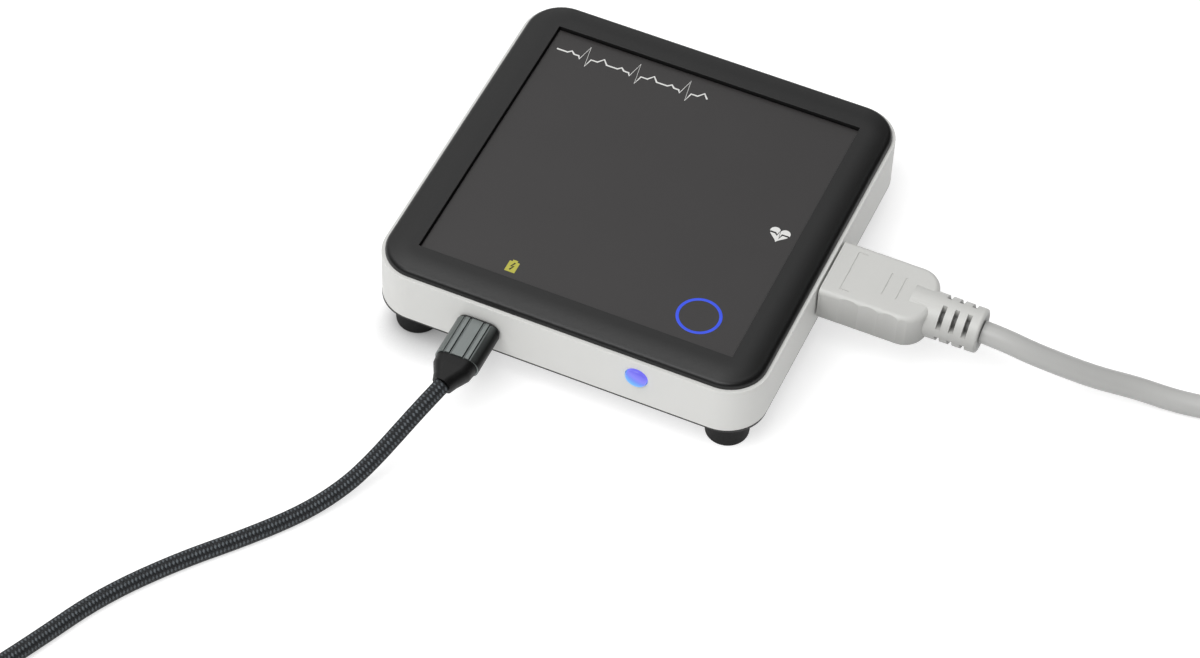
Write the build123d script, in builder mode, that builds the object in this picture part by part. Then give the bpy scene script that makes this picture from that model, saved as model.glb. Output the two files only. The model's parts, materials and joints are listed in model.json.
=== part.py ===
"""Veterinary ECG recorder box with its USB lead and its patient trunk cable."""
from build123d import *
from math import cos, pi, radians, sin, sqrt, tan
import os

os.makedirs("parts", exist_ok=True)

# Driving sizes in millimetres. +Z is up from the table, -Y faces the USB socket and the button,
# +X faces the trunk socket, and the origin is on the table under the middle of the box.
box_width = 110.0
box_depth = 110.0
corner_radius = 11.5
wall = 2.2
wall_height = 15.5
foot_height = 10.0
plate_lip = 1.0
cover_rise = 2.6
cover_inset = 1.0
bezel_width = 10.3
panel_drop = 1.2
foot_inset = 10.0
usb_x = -22.1
usb_height = 7.6
lead_y = -1.5
lead_height = 9.2
button_x = 22.6
button_height = 9.6
usb_cord_diameter = 4.5
lead_cable_diameter = 6.2

# Clearances: parts that slide into each other, small metal parts, and how far a cut runs past
fit_gap = 0.3
slip_gap = 0.12
overrun = 1.0

# Levels and places that several pieces share
z_plate = foot_height
z_shell = z_plate + plate_lip
z_seam = z_shell + wall_height
z_top = z_seam + cover_rise
panel_width = box_width - 2 * bezel_width
panel_depth = box_depth - 2 * bezel_width
inner_width = box_width - 2 * wall
inner_depth = box_depth - 2 * wall
inner_radius = corner_radius - wall
usb_z = z_shell + usb_height
lead_z = z_shell + lead_height
button_z = z_shell + button_height
front_y = -box_depth / 2
right_x = box_width / 2
foot_x = box_width / 2 - foot_inset
foot_y = box_depth / 2 - foot_inset
foot_places = {
    "front_left": (-foot_x, -foot_y),
    "front_right": (foot_x, -foot_y),
    "rear_left": (-foot_x, foot_y),
    "rear_right": (foot_x, foot_y),
}
corner_places = list(foot_places.values())

# Sockets and their metal shells, as the two connector standards give them
usb_shell_width = 8.25
usb_shell_height = 2.4
usb_socket_width = 8.94
usb_socket_height = 3.26
lead_shell_width = 13.9
lead_shell_height = 4.45
lead_socket_width = 15.0
lead_socket_height = 5.5
lead_cut_share = 0.42
mouth_setback = 0.4
plug_gap = 0.5

# Main board level: the USB socket stands on the board's top
z_board = usb_z - usb_socket_height / 2


def d_outline(width, height):
    """Corners of the trunk socket's outline: flat above, both lower corners cut away"""
    half = width / 2
    low = height / 2
    cut = height * lead_cut_share
    return [
        (-half, low),
        (half, low),
        (half, cut - low),
        (half - cut, -low),
        (cut - half, -low),
        (-half, cut - low),
    ]


def upright_plane(origin, heading):
    """Plane across a level direction, its own y axis up"""
    along = Vector(*heading).normalized()
    return Plane(origin=origin, x_dir=(-along.Y, along.X, 0), z_dir=along)


# Side shell: white moulded ring, open above and below, with the cut-outs in its front and right
rim_bevel = 0.5
button_radius = 3.0
button_gap = 0.2
usb_port_width = usb_socket_width + 2 * fit_gap
usb_port_height = usb_socket_height + 2 * fit_gap
lead_port_width = lead_socket_width + 2 * fit_gap
lead_port_height = lead_socket_height + 2 * fit_gap
with BuildPart() as side_shell:
    with BuildSketch(Plane.XY.offset(z_shell)):
        RectangleRounded(box_width, box_depth, corner_radius)
    extrude(amount=wall_height)
    chamfer(side_shell.faces().sort_by(Axis.Z)[-1].edges(), rim_bevel)
    with BuildSketch(Plane.XY.offset(z_shell)):
        RectangleRounded(inner_width, inner_depth, inner_radius)
    extrude(amount=wall_height, mode=Mode.SUBTRACT)
    with BuildSketch(Plane.XZ.offset(box_depth / 2 + overrun)):
        with Locations((usb_x, usb_z)):
            SlotOverall(usb_port_width, usb_port_height)
        with Locations((button_x, button_z)):
            Circle(button_radius + button_gap)
    extrude(amount=-wall - 2 * overrun, mode=Mode.SUBTRACT)
    with BuildSketch(Plane.YZ.offset(box_width / 2 + overrun)):
        with Locations((lead_y, lead_z)):
            Polygon(*d_outline(lead_port_width, lead_port_height), align=None)
    extrude(amount=-wall - 2 * overrun, mode=Mode.SUBTRACT)
side_shell.part.label = "side_shell"
export_step(side_shell.part, "parts/side_shell.step")

# Base plate: black moulding whose lip shows below the white wall, with a spigot and board posts
plate_inset = 0.8
plate_bevel = 0.4
spigot_height = 1.5
post_radius = 2.6
post_bore = 1.0
post_bore_depth = 3.0
screw_clear_radius = 1.7
board_thickness = 1.6
board_screw_inset_x = 18.8
board_screw_inset_y = 8.8
board_screw_x = inner_width / 2 - board_screw_inset_x
board_screw_y = inner_depth / 2 - board_screw_inset_y
z_spigot = z_shell + spigot_height
z_board_under = z_board - board_thickness
board_screw_places = [
    (-board_screw_x, -board_screw_y),
    (board_screw_x, -board_screw_y),
    (-board_screw_x, board_screw_y),
    (board_screw_x, board_screw_y),
]
with BuildPart() as base_plate:
    with BuildSketch(Plane.XY.offset(z_plate)):
        RectangleRounded(
            box_width - 2 * plate_inset,
            box_depth - 2 * plate_inset,
            corner_radius - plate_inset,
        )
    extrude(amount=plate_lip)
    chamfer(base_plate.faces().sort_by(Axis.Z)[0].edges(), plate_bevel)
    with BuildSketch(Plane.XY.offset(z_shell)):
        RectangleRounded(inner_width - 2 * fit_gap, inner_depth - 2 * fit_gap, inner_radius - fit_gap)
    extrude(amount=spigot_height)
    with BuildSketch(Plane.XY.offset(z_spigot)):
        with Locations(*board_screw_places):
            Circle(post_radius)
    extrude(amount=z_board_under - z_spigot)
    with BuildSketch(Plane.XY.offset(z_board_under)):
        with Locations(*board_screw_places):
            Circle(post_bore)
    extrude(amount=-post_bore_depth, mode=Mode.SUBTRACT)
    with BuildSketch(Plane.XY.offset(z_plate - overrun)):
        with Locations(*corner_places):
            Circle(screw_clear_radius)
    extrude(amount=plate_lip + spigot_height + 2 * overrun, mode=Mode.SUBTRACT)
base_plate.part.label = "base_plate"
export_step(base_plate.part, "parts/base_plate.step")

# Rubber feet: tall tapered bumpers, counterbored from below for a washer and a long case screw
foot_top_radius = 6.5
foot_bottom_radius = 5.9
foot_edge = 0.6
counterbore_radius = 3.5
counterbore_depth = 4.0
for name, (x, y) in foot_places.items():
    with BuildPart() as foot:
        with BuildSketch(Plane(origin=(x, y, 0), x_dir=(1, 0, 0), z_dir=(0, -1, 0))):
            with BuildLine() as foot_outline:
                Polyline(
                    (counterbore_radius, 0),
                    (foot_bottom_radius, 0),
                    (foot_top_radius, foot_height),
                    (screw_clear_radius, foot_height),
                    (screw_clear_radius, counterbore_depth),
                    (counterbore_radius, counterbore_depth),
                    close=True,
                )
            make_face()
            chamfer(foot_outline.vertices().group_by(Axis.Z)[0].sort_by(Axis.X)[-1], foot_edge)
        revolve(axis=Axis((x, y, 0), (0, 0, 1)))
    foot.part.label = f"foot_{name}"
    export_step(foot.part, f"parts/foot_{name}.step")

# Foot washers: steel rings on the floor of each counterbore, so the screws don't pull through
washer_thickness = 0.6
case_screw_radius = 1.4
with BuildPart() as foot_washers:
    with BuildSketch(Plane.XY.offset(counterbore_depth)):
        with Locations(*corner_places):
            Circle(counterbore_radius - fit_gap)
            Circle(screw_clear_radius, mode=Mode.SUBTRACT)
    extrude(amount=-washer_thickness)
foot_washers.part.label = "foot_washers"
export_step(foot_washers.part, "parts/foot_washers.step")

# Case screws: four long pan heads up through feet and base plate into the cover's bosses
screw_head_radius = 2.7
screw_head_height = 1.9
screw_head_bevel = 0.5
screw_reach = 7.5
z_screw_head = counterbore_depth - washer_thickness
with BuildPart() as case_screws:
    with BuildSketch(Plane.XY.offset(z_screw_head)):
        with Locations(*corner_places):
            Circle(screw_head_radius)
    extrude(amount=-screw_head_height)
    chamfer(case_screws.edges().group_by(Axis.Z)[0], screw_head_bevel)
    with BuildSketch(Plane.XY.offset(z_screw_head)):
        with Locations(*corner_places):
            Circle(case_screw_radius)
    extrude(amount=z_spigot + screw_reach - z_screw_head)
case_screws.part.label = "case_screws"
export_step(case_screws.part, "parts/case_screws.step")

# Top cover: black bezel with a crown that falls to a rounded rim, a pocket for the window,
# a spigot that drops inside the white shell, and four bosses for the case screws
cover_width = box_width - 2 * cover_inset
cover_depth = box_depth - 2 * cover_inset
cover_radius = corner_radius - cover_inset
crown_width = 6.8
quarter_angle = 90.0
crown_drop = 0.6
rim_round = 1.5
window_thickness = 1.2
tape_thickness = 0.2
ledge_thickness = 1.5
ledge_width = 1.8
spigot_drop = 2.0
spigot_wall = 1.8
boss_radius = 3.5
boss_bore = case_screw_radius + slip_gap
boss_bore_depth = screw_reach + overrun
z_panel = z_top - panel_drop
z_window = z_panel - window_thickness
z_ledge = z_window - tape_thickness
z_ledge_under = z_ledge - ledge_thickness
z_cover_low = z_seam - spigot_drop
with BuildPart() as top_cover:
    with BuildLine() as rim_path:
        rim_start = Vector(0, -cover_depth / 2, z_seam)
        side_run = Line(rim_start, (cover_width / 2 - cover_radius, -cover_depth / 2, z_seam))
        for side_length in (cover_depth, cover_width, cover_depth):
            corner_arc = JernArc(side_run @ 1, side_run % 1, cover_radius, quarter_angle)
            straight = side_length - 2 * cover_radius
            side_run = Line(corner_arc @ 1, corner_arc @ 1 + (corner_arc % 1) * straight)
        corner_arc = JernArc(side_run @ 1, side_run % 1, cover_radius, quarter_angle)
        Line(corner_arc @ 1, rim_start)
    with BuildSketch(Plane.YZ):
        with BuildLine():
            outer = -cover_depth / 2
            shoulder = (outer + rim_round, z_top - crown_drop)
            Line((outer, z_seam), (outer, z_top - crown_drop - rim_round))
            JernArc((outer, z_top - crown_drop - rim_round), (0, 1), rim_round, -quarter_angle)
            ThreePointArc(
                shoulder,
                (outer + (rim_round + crown_width) / 2, z_top - crown_drop / 4),
                (outer + crown_width, z_top),
            )
            Line((outer + crown_width, z_top), (outer + crown_width, z_seam))
            Line((outer + crown_width, z_seam), (outer, z_seam))
        make_face()
    sweep(path=rim_path.line)
    with BuildSketch(Plane.XY.offset(z_seam)):
        RectangleRounded(
            cover_width - 2 * crown_width,
            cover_depth - 2 * crown_width,
            cover_radius - crown_width,
        )
    extrude(amount=cover_rise)
    with BuildSketch(Plane.XY.offset(z_seam)):
        RectangleRounded(inner_width - 2 * fit_gap, inner_depth - 2 * fit_gap, inner_radius - fit_gap)
    extrude(amount=-spigot_drop)
    with BuildSketch(Plane.XY.offset(z_ledge_under)):
        RectangleRounded(
            inner_width - 2 * (fit_gap + spigot_wall),
            inner_depth - 2 * (fit_gap + spigot_wall),
            inner_radius - fit_gap - spigot_wall,
        )
    extrude(amount=-spigot_drop, mode=Mode.SUBTRACT)
    with BuildSketch(Plane.XY.offset(z_top)):
        Rectangle(panel_width, panel_depth)
    extrude(amount=z_ledge - z_top, mode=Mode.SUBTRACT)
    with BuildSketch(Plane.XY.offset(z_ledge)):
        Rectangle(panel_width - 2 * ledge_width, panel_depth - 2 * ledge_width)
    extrude(amount=-ledge_thickness, mode=Mode.SUBTRACT)
    with BuildSketch(Plane.XY.offset(z_spigot)):
        with Locations(*corner_places):
            Circle(boss_radius)
    extrude(amount=z_ledge_under - z_spigot)
    with BuildSketch(Plane.XY.offset(z_spigot)):
        with Locations(*corner_places):
            Circle(boss_bore)
    extrude(amount=boss_bore_depth, mode=Mode.SUBTRACT)
top_cover.part.label = "top_cover"
export_step(top_cover.part, "parts/top_cover.step")

# Display window: flat dark acrylic sheet with sharp corners, down in the cover's pocket
window_gap = 0.15
with BuildPart() as display_window:
    with BuildSketch(Plane.XY.offset(z_window)):
        Rectangle(panel_width - 2 * window_gap, panel_depth - 2 * window_gap)
    extrude(amount=window_thickness)
display_window.part.label = "display_window"
export_step(display_window.part, "parts/display_window.step")

# Window tape: thin adhesive frame between the window and the cover's ledge
tape_margin = 0.3
with BuildPart() as window_tape:
    with BuildSketch(Plane.XY.offset(z_ledge)):
        Rectangle(panel_width - 2 * tape_margin, panel_depth - 2 * tape_margin)
        Rectangle(
            panel_width - 2 * (ledge_width - tape_margin),
            panel_depth - 2 * (ledge_width - tape_margin),
            mode=Mode.SUBTRACT,
        )
    extrude(amount=tape_thickness)
window_tape.part.label = "window_tape"
export_step(window_tape.part, "parts/window_tape.step")

# Main board: glass-fibre laminate that fills the shell, holed for the cover's bosses and its screws
board_gap = 0.5
boss_clearance = 0.6
board_screw_radius = 0.9
with BuildPart() as main_board:
    with BuildSketch(Plane.XY.offset(z_board_under)):
        RectangleRounded(inner_width - 2 * board_gap, inner_depth - 2 * board_gap, inner_radius - board_gap)
        with Locations(*corner_places):
            Circle(boss_radius + boss_clearance, mode=Mode.SUBTRACT)
        with Locations(*board_screw_places):
            Circle(board_screw_radius + slip_gap, mode=Mode.SUBTRACT)
    extrude(amount=board_thickness)
main_board.part.label = "main_board"
export_step(main_board.part, "parts/main_board.step")

# Board screws: four small pan heads into the base plate's posts
board_head_radius = 1.9
board_head_height = 1.2
board_screw_reach = 2.4
with BuildPart() as board_screws:
    with BuildSketch(Plane.XY.offset(z_board)):
        with Locations(*board_screw_places):
            Circle(board_head_radius)
    extrude(amount=board_head_height)
    with BuildSketch(Plane.XY.offset(z_board)):
        with Locations(*board_screw_places):
            Circle(board_screw_radius)
    extrude(amount=-board_thickness - board_screw_reach)
board_screws.part.label = "board_screws"
export_step(board_screws.part, "parts/board_screws.step")

# USB socket: folded steel shell, closed behind, its mouth just inside the front wall's face
usb_socket_wall = 0.3
usb_socket_length = 7.3
usb_mouth_y = front_y + mouth_setback
usb_cavity_width = usb_socket_width - 2 * usb_socket_wall
usb_cavity_height = usb_socket_height - 2 * usb_socket_wall
with BuildPart() as usb_socket:
    with BuildSketch(Plane.XZ.offset(-usb_mouth_y)):
        with Locations((usb_x, usb_z)):
            SlotOverall(usb_socket_width, usb_socket_height)
    extrude(amount=-usb_socket_length)
    with BuildSketch(Plane.XZ.offset(-usb_mouth_y)):
        with Locations((usb_x, usb_z)):
            SlotOverall(usb_cavity_width, usb_cavity_height)
    extrude(amount=usb_socket_wall - usb_socket_length, mode=Mode.SUBTRACT)
usb_socket.part.label = "usb_socket"
export_step(usb_socket.part, "parts/usb_socket.step")

# USB socket tongue: moulded block at the back of the shell with the flat contact tongue
tongue_block = 0.6
tongue_width = 6.65
tongue_thickness = 0.7
tongue_length = 4.6
usb_back_y = usb_mouth_y + usb_socket_length - usb_socket_wall
with BuildPart() as usb_socket_tongue:
    with BuildSketch(Plane.XZ.offset(-usb_back_y)):
        with Locations((usb_x, usb_z)):
            SlotOverall(usb_cavity_width - 2 * slip_gap, usb_cavity_height - 2 * slip_gap)
    extrude(amount=tongue_block)
    with BuildSketch(Plane.XZ.offset(tongue_block - usb_back_y)):
        with Locations((usb_x, usb_z)):
            Rectangle(tongue_width, tongue_thickness)
    extrude(amount=tongue_length)
usb_socket_tongue.part.label = "usb_socket_tongue"
export_step(usb_socket_tongue.part, "parts/usb_socket_tongue.step")

# Trunk socket: larger folded shell with cut lower corners, on a moulded base that meets the board
lead_socket_wall = 0.35
lead_socket_length = 11.5
lead_mouth_x = right_x - mouth_setback
lead_back_x = lead_mouth_x - lead_socket_length
lead_cavity_width = lead_socket_width - 2 * lead_socket_wall
lead_cavity_height = lead_socket_height - 2 * lead_socket_wall
with BuildPart() as lead_socket:
    with BuildSketch(Plane.YZ.offset(lead_mouth_x)):
        with Locations((lead_y, lead_z)):
            Polygon(*d_outline(lead_socket_width, lead_socket_height), align=None)
    extrude(amount=-lead_socket_length)
    with BuildSketch(Plane.YZ.offset(lead_mouth_x)):
        with Locations((lead_y, lead_z)):
            Polygon(*d_outline(lead_cavity_width, lead_cavity_height), align=None)
    extrude(amount=lead_socket_wall - lead_socket_length, mode=Mode.SUBTRACT)
lead_socket.part.label = "lead_socket"
export_step(lead_socket.part, "parts/lead_socket.step")

# Trunk socket foot: the moulding below the shell that carries it on the board
socket_foot_width = lead_socket_width * (1 - lead_cut_share)
z_socket_under = lead_z - lead_socket_height / 2
with BuildPart() as lead_socket_foot:
    with BuildSketch(Plane.XY.offset(z_board)):
        with Locations((lead_back_x, lead_y)):
            Rectangle(
                inner_width / 2 - board_gap - lead_back_x,
                socket_foot_width,
                align=(Align.MIN, Align.CENTER),
            )
    extrude(amount=z_socket_under - z_board)
lead_socket_foot.part.label = "lead_socket_foot"
export_step(lead_socket_foot.part, "parts/lead_socket_foot.step")

# Trunk socket tongue: block at the back of the shell with the contact tongue
lead_block = 0.8
lead_tongue_width = 11.2
lead_tongue_thickness = 1.1
lead_tongue_length = 8.2
lead_inner_back_x = lead_back_x + lead_socket_wall
with BuildPart() as lead_socket_tongue:
    with BuildSketch(Plane.YZ.offset(lead_inner_back_x)):
        with Locations((lead_y, lead_z)):
            Polygon(
                *d_outline(lead_cavity_width - 2 * slip_gap, lead_cavity_height - 2 * slip_gap),
                align=None,
            )
    extrude(amount=lead_block)
    with BuildSketch(Plane.YZ.offset(lead_inner_back_x + lead_block)):
        with Locations((lead_y, lead_z)):
            Rectangle(lead_tongue_width, lead_tongue_thickness)
    extrude(amount=lead_tongue_length)
lead_socket_tongue.part.label = "lead_socket_tongue"
export_step(lead_socket_tongue.part, "parts/lead_socket_tongue.step")

# Power button: clear cap with a domed end, held behind the wall by its flange
button_proud = 1.3
button_dome = 0.5
flange_radius = 3.5
flange_thickness = 0.8
button_travel = 0.5
button_face_y = front_y - button_proud
flange_y = front_y + wall
with BuildPart() as power_button:
    with BuildSketch(Plane.YZ.offset(button_x)):
        with BuildLine():
            Polyline(
                (button_face_y, button_z),
                (flange_y + flange_thickness, button_z),
                (flange_y + flange_thickness, button_z + flange_radius),
                (flange_y, button_z + flange_radius),
                (flange_y, button_z + button_radius),
                (button_face_y + button_dome, button_z + button_radius),
            )
            TangentArc(
                (button_face_y, button_z),
                (button_face_y + button_dome, button_z + button_radius),
                tangent=(0, 1),
            )
        make_face()
    revolve(axis=Axis((button_x, 0, button_z), (0, 1, 0)))
power_button.part.label = "power_button"
export_step(power_button.part, "parts/power_button.step")

# Switch plunger: moves with the button and sinks into the switch
plunger_radius = 1.5
plunger_length = 1.6
plunger_sink = 0.6
plunger_y = flange_y + flange_thickness
with BuildPart() as switch_plunger:
    with BuildSketch(Plane.XZ.offset(-plunger_y)):
        with Locations((button_x, button_z)):
            Circle(plunger_radius)
    extrude(amount=-plunger_length)
switch_plunger.part.label = "switch_plunger"
export_step(switch_plunger.part, "parts/switch_plunger.step")

# Power switch: tactile switch on its side on the board, bored for the plunger's travel
switch_width = 6.2
switch_length = 4.0
switch_above = 3.0
switch_y = plunger_y + plunger_length - plunger_sink
plunger_room = plunger_sink + button_travel + fit_gap
with BuildPart() as power_switch:
    with BuildSketch(Plane.XZ.offset(-switch_y)):
        with Locations((button_x, z_board)):
            Rectangle(switch_width, button_z + switch_above - z_board, align=(Align.CENTER, Align.MIN))
    extrude(amount=-switch_length)
    with BuildSketch(Plane.XZ.offset(-switch_y)):
        with Locations((button_x, button_z)):
            Circle(plunger_radius + slip_gap)
    extrude(amount=-plunger_room, mode=Mode.SUBTRACT)
power_switch.part.label = "power_switch"
export_step(power_switch.part, "parts/power_switch.step")

# Button lamp: small blue lamp on the board beside the switch, behind the clear cap
lamp_width = 2.0
lamp_length = 1.2
lamp_height = 0.8
lamp_offset = switch_width / 2 + lamp_width
with BuildPart() as button_lamp:
    with BuildSketch(Plane.XY.offset(z_board)):
        with Locations((button_x + lamp_offset, switch_y + switch_length / 2)):
            Rectangle(lamp_width, lamp_length)
    extrude(amount=lamp_height)
button_lamp.part.label = "button_lamp"
export_step(button_lamp.part, "parts/button_lamp.step")

# Lit symbols: x and y on the window, and the outer side of the light well below each
heart_inset = 5.2
heart_y = 0.4
battery_mark_x = -19.7
battery_mark_inset = 5.4
ring_inset_x = 13.7
ring_inset_y = 10.3
heart_place = (panel_width / 2 - heart_inset, heart_y)
battery_mark_place = (battery_mark_x, battery_mark_inset - panel_depth / 2)
ring_place = (panel_width / 2 - ring_inset_x, ring_inset_y - panel_depth / 2)
small_well = 6.0
large_well = 14.5
well_wall = 0.8
wells = [(heart_place, small_well), (battery_mark_place, small_well), (ring_place, large_well)]

# Symbol lamps: one flat lamp on the board in the middle of each well
with BuildPart() as symbol_lamps:
    with BuildSketch(Plane.XY.offset(z_board)):
        with Locations(heart_place, battery_mark_place, ring_place):
            Rectangle(lamp_width, lamp_length)
    extrude(amount=lamp_height)
symbol_lamps.part.label = "symbol_lamps"
export_step(symbol_lamps.part, "parts/symbol_lamps.step")

# Light wells: square tubes from the board to just under the window, one to each symbol
with BuildPart() as light_wells:
    with BuildSketch(Plane.XY.offset(z_board)):
        for place, side in wells:
            with Locations(place):
                Rectangle(side, side)
                Rectangle(side - 2 * well_wall, side - 2 * well_wall, mode=Mode.SUBTRACT)
    extrude(amount=z_window - fit_gap - z_board)
light_wells.part.label = "light_wells"
export_step(light_wells.part, "parts/light_wells.step")

# Amplifier chips: the two analogue front-end packages that read the electrodes
chip_side = 8.0
chip_height = 1.1
amplifier_inset = 22.7
amplifier_y = 2.0
amplifier_place = (panel_width / 2 - amplifier_inset, amplifier_y)
amplifier_pitch = 10.5
with BuildPart() as amplifier_chips:
    with BuildSketch(Plane.XY.offset(z_board)):
        with Locations(amplifier_place):
            with GridLocations(0, amplifier_pitch, 1, 2):
                Rectangle(chip_side, chip_side)
    extrude(amount=chip_height)
amplifier_chips.part.label = "amplifier_chips"
export_step(amplifier_chips.part, "parts/amplifier_chips.step")

# Shield can: thin tinned lid over the amplifier chips, open towards the board
can_width = 20.0
can_depth = 24.0
can_height = 3.2
can_wall = 0.4
can_round = 0.8
with BuildPart() as shield_can:
    with BuildSketch(Plane.XY.offset(z_board)):
        with Locations(amplifier_place):
            RectangleRounded(can_width, can_depth, can_round)
    extrude(amount=can_height)
    with BuildSketch(Plane.XY.offset(z_board)):
        with Locations(amplifier_place):
            Rectangle(can_width - 2 * can_wall, can_depth - 2 * can_wall)
    extrude(amount=can_height - can_wall, mode=Mode.SUBTRACT)
shield_can.part.label = "shield_can"
export_step(shield_can.part, "parts/shield_can.step")

# Processor: flat square package in the open middle of the board
processor_y = -20.0
processor_side = 12.0
with BuildPart() as processor_chip:
    with BuildSketch(Plane.XY.offset(z_board)):
        with Locations((0, processor_y)):
            Rectangle(processor_side, processor_side)
    extrude(amount=chip_height)
processor_chip.part.label = "processor_chip"
export_step(processor_chip.part, "parts/processor_chip.step")

# Radio module: small board with its own can, at the left edge where its aerial is clear
radio_inset = 12.8
radio_y = -14.0
radio_place = (radio_inset - inner_width / 2, radio_y)
radio_width = 12.0
radio_depth = 17.0
radio_board = 0.8
radio_can_height = 1.6
radio_can_side = 10.0
with BuildPart() as radio_module:
    with BuildSketch(Plane.XY.offset(z_board)):
        with Locations(radio_place):
            Rectangle(radio_width, radio_depth)
    extrude(amount=radio_board)
    with BuildSketch(Plane.XY.offset(z_board + radio_board)):
        with Locations(radio_place):
            Rectangle(radio_can_side, radio_can_side)
    extrude(amount=radio_can_height)
radio_module.part.label = "radio_module"
export_step(radio_module.part, "parts/radio_module.step")

# Battery pack: flat lithium pouch with soft rounded edges, laid on a foam pad
battery_left_room = 9.8
battery_right_room = 45.8
battery_back_room = 12.3
battery_width = inner_width - battery_left_room - battery_right_room
battery_depth = 34.0
battery_right_x = inner_width / 2 - battery_right_room
battery_back_y = inner_depth / 2 - battery_back_room
battery_place = (battery_right_x - battery_width / 2, battery_back_y - battery_depth / 2)
battery_height = 5.8
battery_round = 1.6
battery_bevel = 0.8
pad_thickness = 0.8
pad_margin = 2.0
z_battery = z_board + pad_thickness
with BuildPart() as battery_pad:
    with BuildSketch(Plane.XY.offset(z_board)):
        with Locations(battery_place):
            Rectangle(battery_width - 2 * pad_margin, battery_depth - 2 * pad_margin)
    extrude(amount=pad_thickness)
battery_pad.part.label = "battery_pad"
export_step(battery_pad.part, "parts/battery_pad.step")
with BuildPart() as battery_pack:
    with BuildSketch(Plane.XY.offset(z_battery)):
        with Locations(battery_place):
            Rectangle(battery_width, battery_depth)
    extrude(amount=battery_height)
    fillet(battery_pack.edges().filter_by(Axis.Z), battery_round)
    chamfer(battery_pack.faces().sort_by(Axis.Z)[-1].edges(), battery_bevel)
battery_pack.part.label = "battery_pack"
export_step(battery_pack.part, "parts/battery_pack.step")

# Battery connector: white two-way socket on the board to the right of the pack
connector_width = 6.0
connector_depth = 5.0
connector_height = 4.2
connector_gap = 5.0
connector_drop = 14.0
connector_x = battery_right_x + connector_gap + connector_width / 2
connector_y = battery_back_y - connector_drop
with BuildPart() as battery_connector:
    with BuildSketch(Plane.XY.offset(z_board)):
        with Locations((connector_x, connector_y)):
            Rectangle(connector_width, connector_depth)
    extrude(amount=connector_height)
battery_connector.part.label = "battery_connector"
export_step(battery_connector.part, "parts/battery_connector.step")

# Battery wires: two insulated wires from the pack's right end, round one bend to the connector
wire_radius = 0.65
wire_side_count = 8
wire_pitch = 2.0
wire_bend = 2.5
wire_edge = 3.0
wire_z = z_battery + battery_height / 2
with BuildPart() as battery_wires:
    for side in (-1, 1):
        wire_x = connector_x + side * wire_pitch / 2
        wire_y = battery_back_y - wire_edge + side * wire_pitch / 2
        with BuildLine() as wire_path:
            FilletPolyline(
                (battery_right_x, wire_y, wire_z),
                (wire_x, wire_y, wire_z),
                (wire_x, connector_y + connector_depth / 2, wire_z),
                radius=wire_bend,
            )
        with BuildSketch(Plane(origin=wire_path.line @ 0, z_dir=wire_path.line % 0)):
            RegularPolygon(wire_radius, wire_side_count)
        sweep(path=wire_path.line)
battery_wires.part.label = "battery_wires"
export_step(battery_wires.part, "parts/battery_wires.step")


def grooved_sleeve(plane, width, height, length, hollow_wall):
    """Aluminium plug sleeve: oval tube with a pair of shallow grooves each side, above and below"""
    corner = height * sleeve_corner_share
    with BuildPart() as sleeve:
        with BuildSketch(plane):
            RectangleRounded(width, height, corner)
            with Locations((0, height / 2), (0, -height / 2)):
                with Locations(*[(width * share, 0) for share in groove_shares]):
                    Rectangle(groove_width, 2 * groove_depth, rotation=0, mode=Mode.SUBTRACT)
        extrude(amount=length)
        with BuildSketch(plane):
            RectangleRounded(width - 2 * hollow_wall, height - 2 * hollow_wall, corner - hollow_wall)
        extrude(amount=length, mode=Mode.SUBTRACT)
    return sleeve.part


def tapered_relief(plane, width, height, end_plane, end_radius):
    """Rubber strain relief: full width at the sleeve, drawn in to a round neck square to the cord"""
    with BuildPart() as relief:
        for distance_share, width_share, round_share in relief_shares:
            level = Plane(
                origin=plane.origin + (end_plane.origin - plane.origin) * distance_share,
                x_dir=plane.x_dir + (end_plane.x_dir - plane.x_dir) * distance_share,
                z_dir=plane.z_dir + (end_plane.z_dir - plane.z_dir) * distance_share,
            )
            wide = end_radius * 2 + (width - end_radius * 2) * width_share
            tall = end_radius * 2 + (height - end_radius * 2) * width_share
            with BuildSketch(level):
                RectangleRounded(wide, tall, tall / 2 * round_share)
        loft(ruled=True)
    return relief.part


def cord_tube(route, diameter):
    """Plain tube along straight runs and the largest tangent arcs that the runs allow"""
    points = [Vector(*point) for point in route]
    bends = []
    for before, corner, after in zip(points, points[1:], points[2:]):
        arriving = corner - before
        leaving = after - corner
        half_turn = radians(arriving.get_angle(leaving)) / 2
        bends.append(bend_share * min(arriving.length, leaving.length) / tan(half_turn))
    with BuildPart() as tube:
        with BuildLine() as tube_path:
            FilletPolyline(*points, radius=bends)
        with BuildSketch(Plane(origin=tube_path.line @ 0, z_dir=tube_path.line % 0)):
            Circle(diameter / 2)
        sweep(path=tube_path.line)
    length = tube_path.wire().length
    section = pi * diameter ** 2 / 4
    print("  bend radii", [round(bend, 1) for bend in bends], "length", round(length, 1))
    print("  volume over section times length", round(tube.part.volume / (section * length), 5))
    return tube.part


def arc_pair(start, start_way, end, end_way):
    """Two arcs that leave one point and reach another along the given directions"""
    across = end - start
    both = start_way + end_way
    spread = 2 * (1 - start_way.dot(end_way))
    reach = (sqrt(across.dot(both) ** 2 + spread * across.dot(across)) - across.dot(both)) / spread
    joint = (start + end + (start_way - end_way) * reach) / 2
    joint_way = (end - end_way * reach - start - start_way * reach).normalized()
    TangentArc(start, joint, tangent=start_way)
    TangentArc(joint, end, tangent=joint_way)


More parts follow.
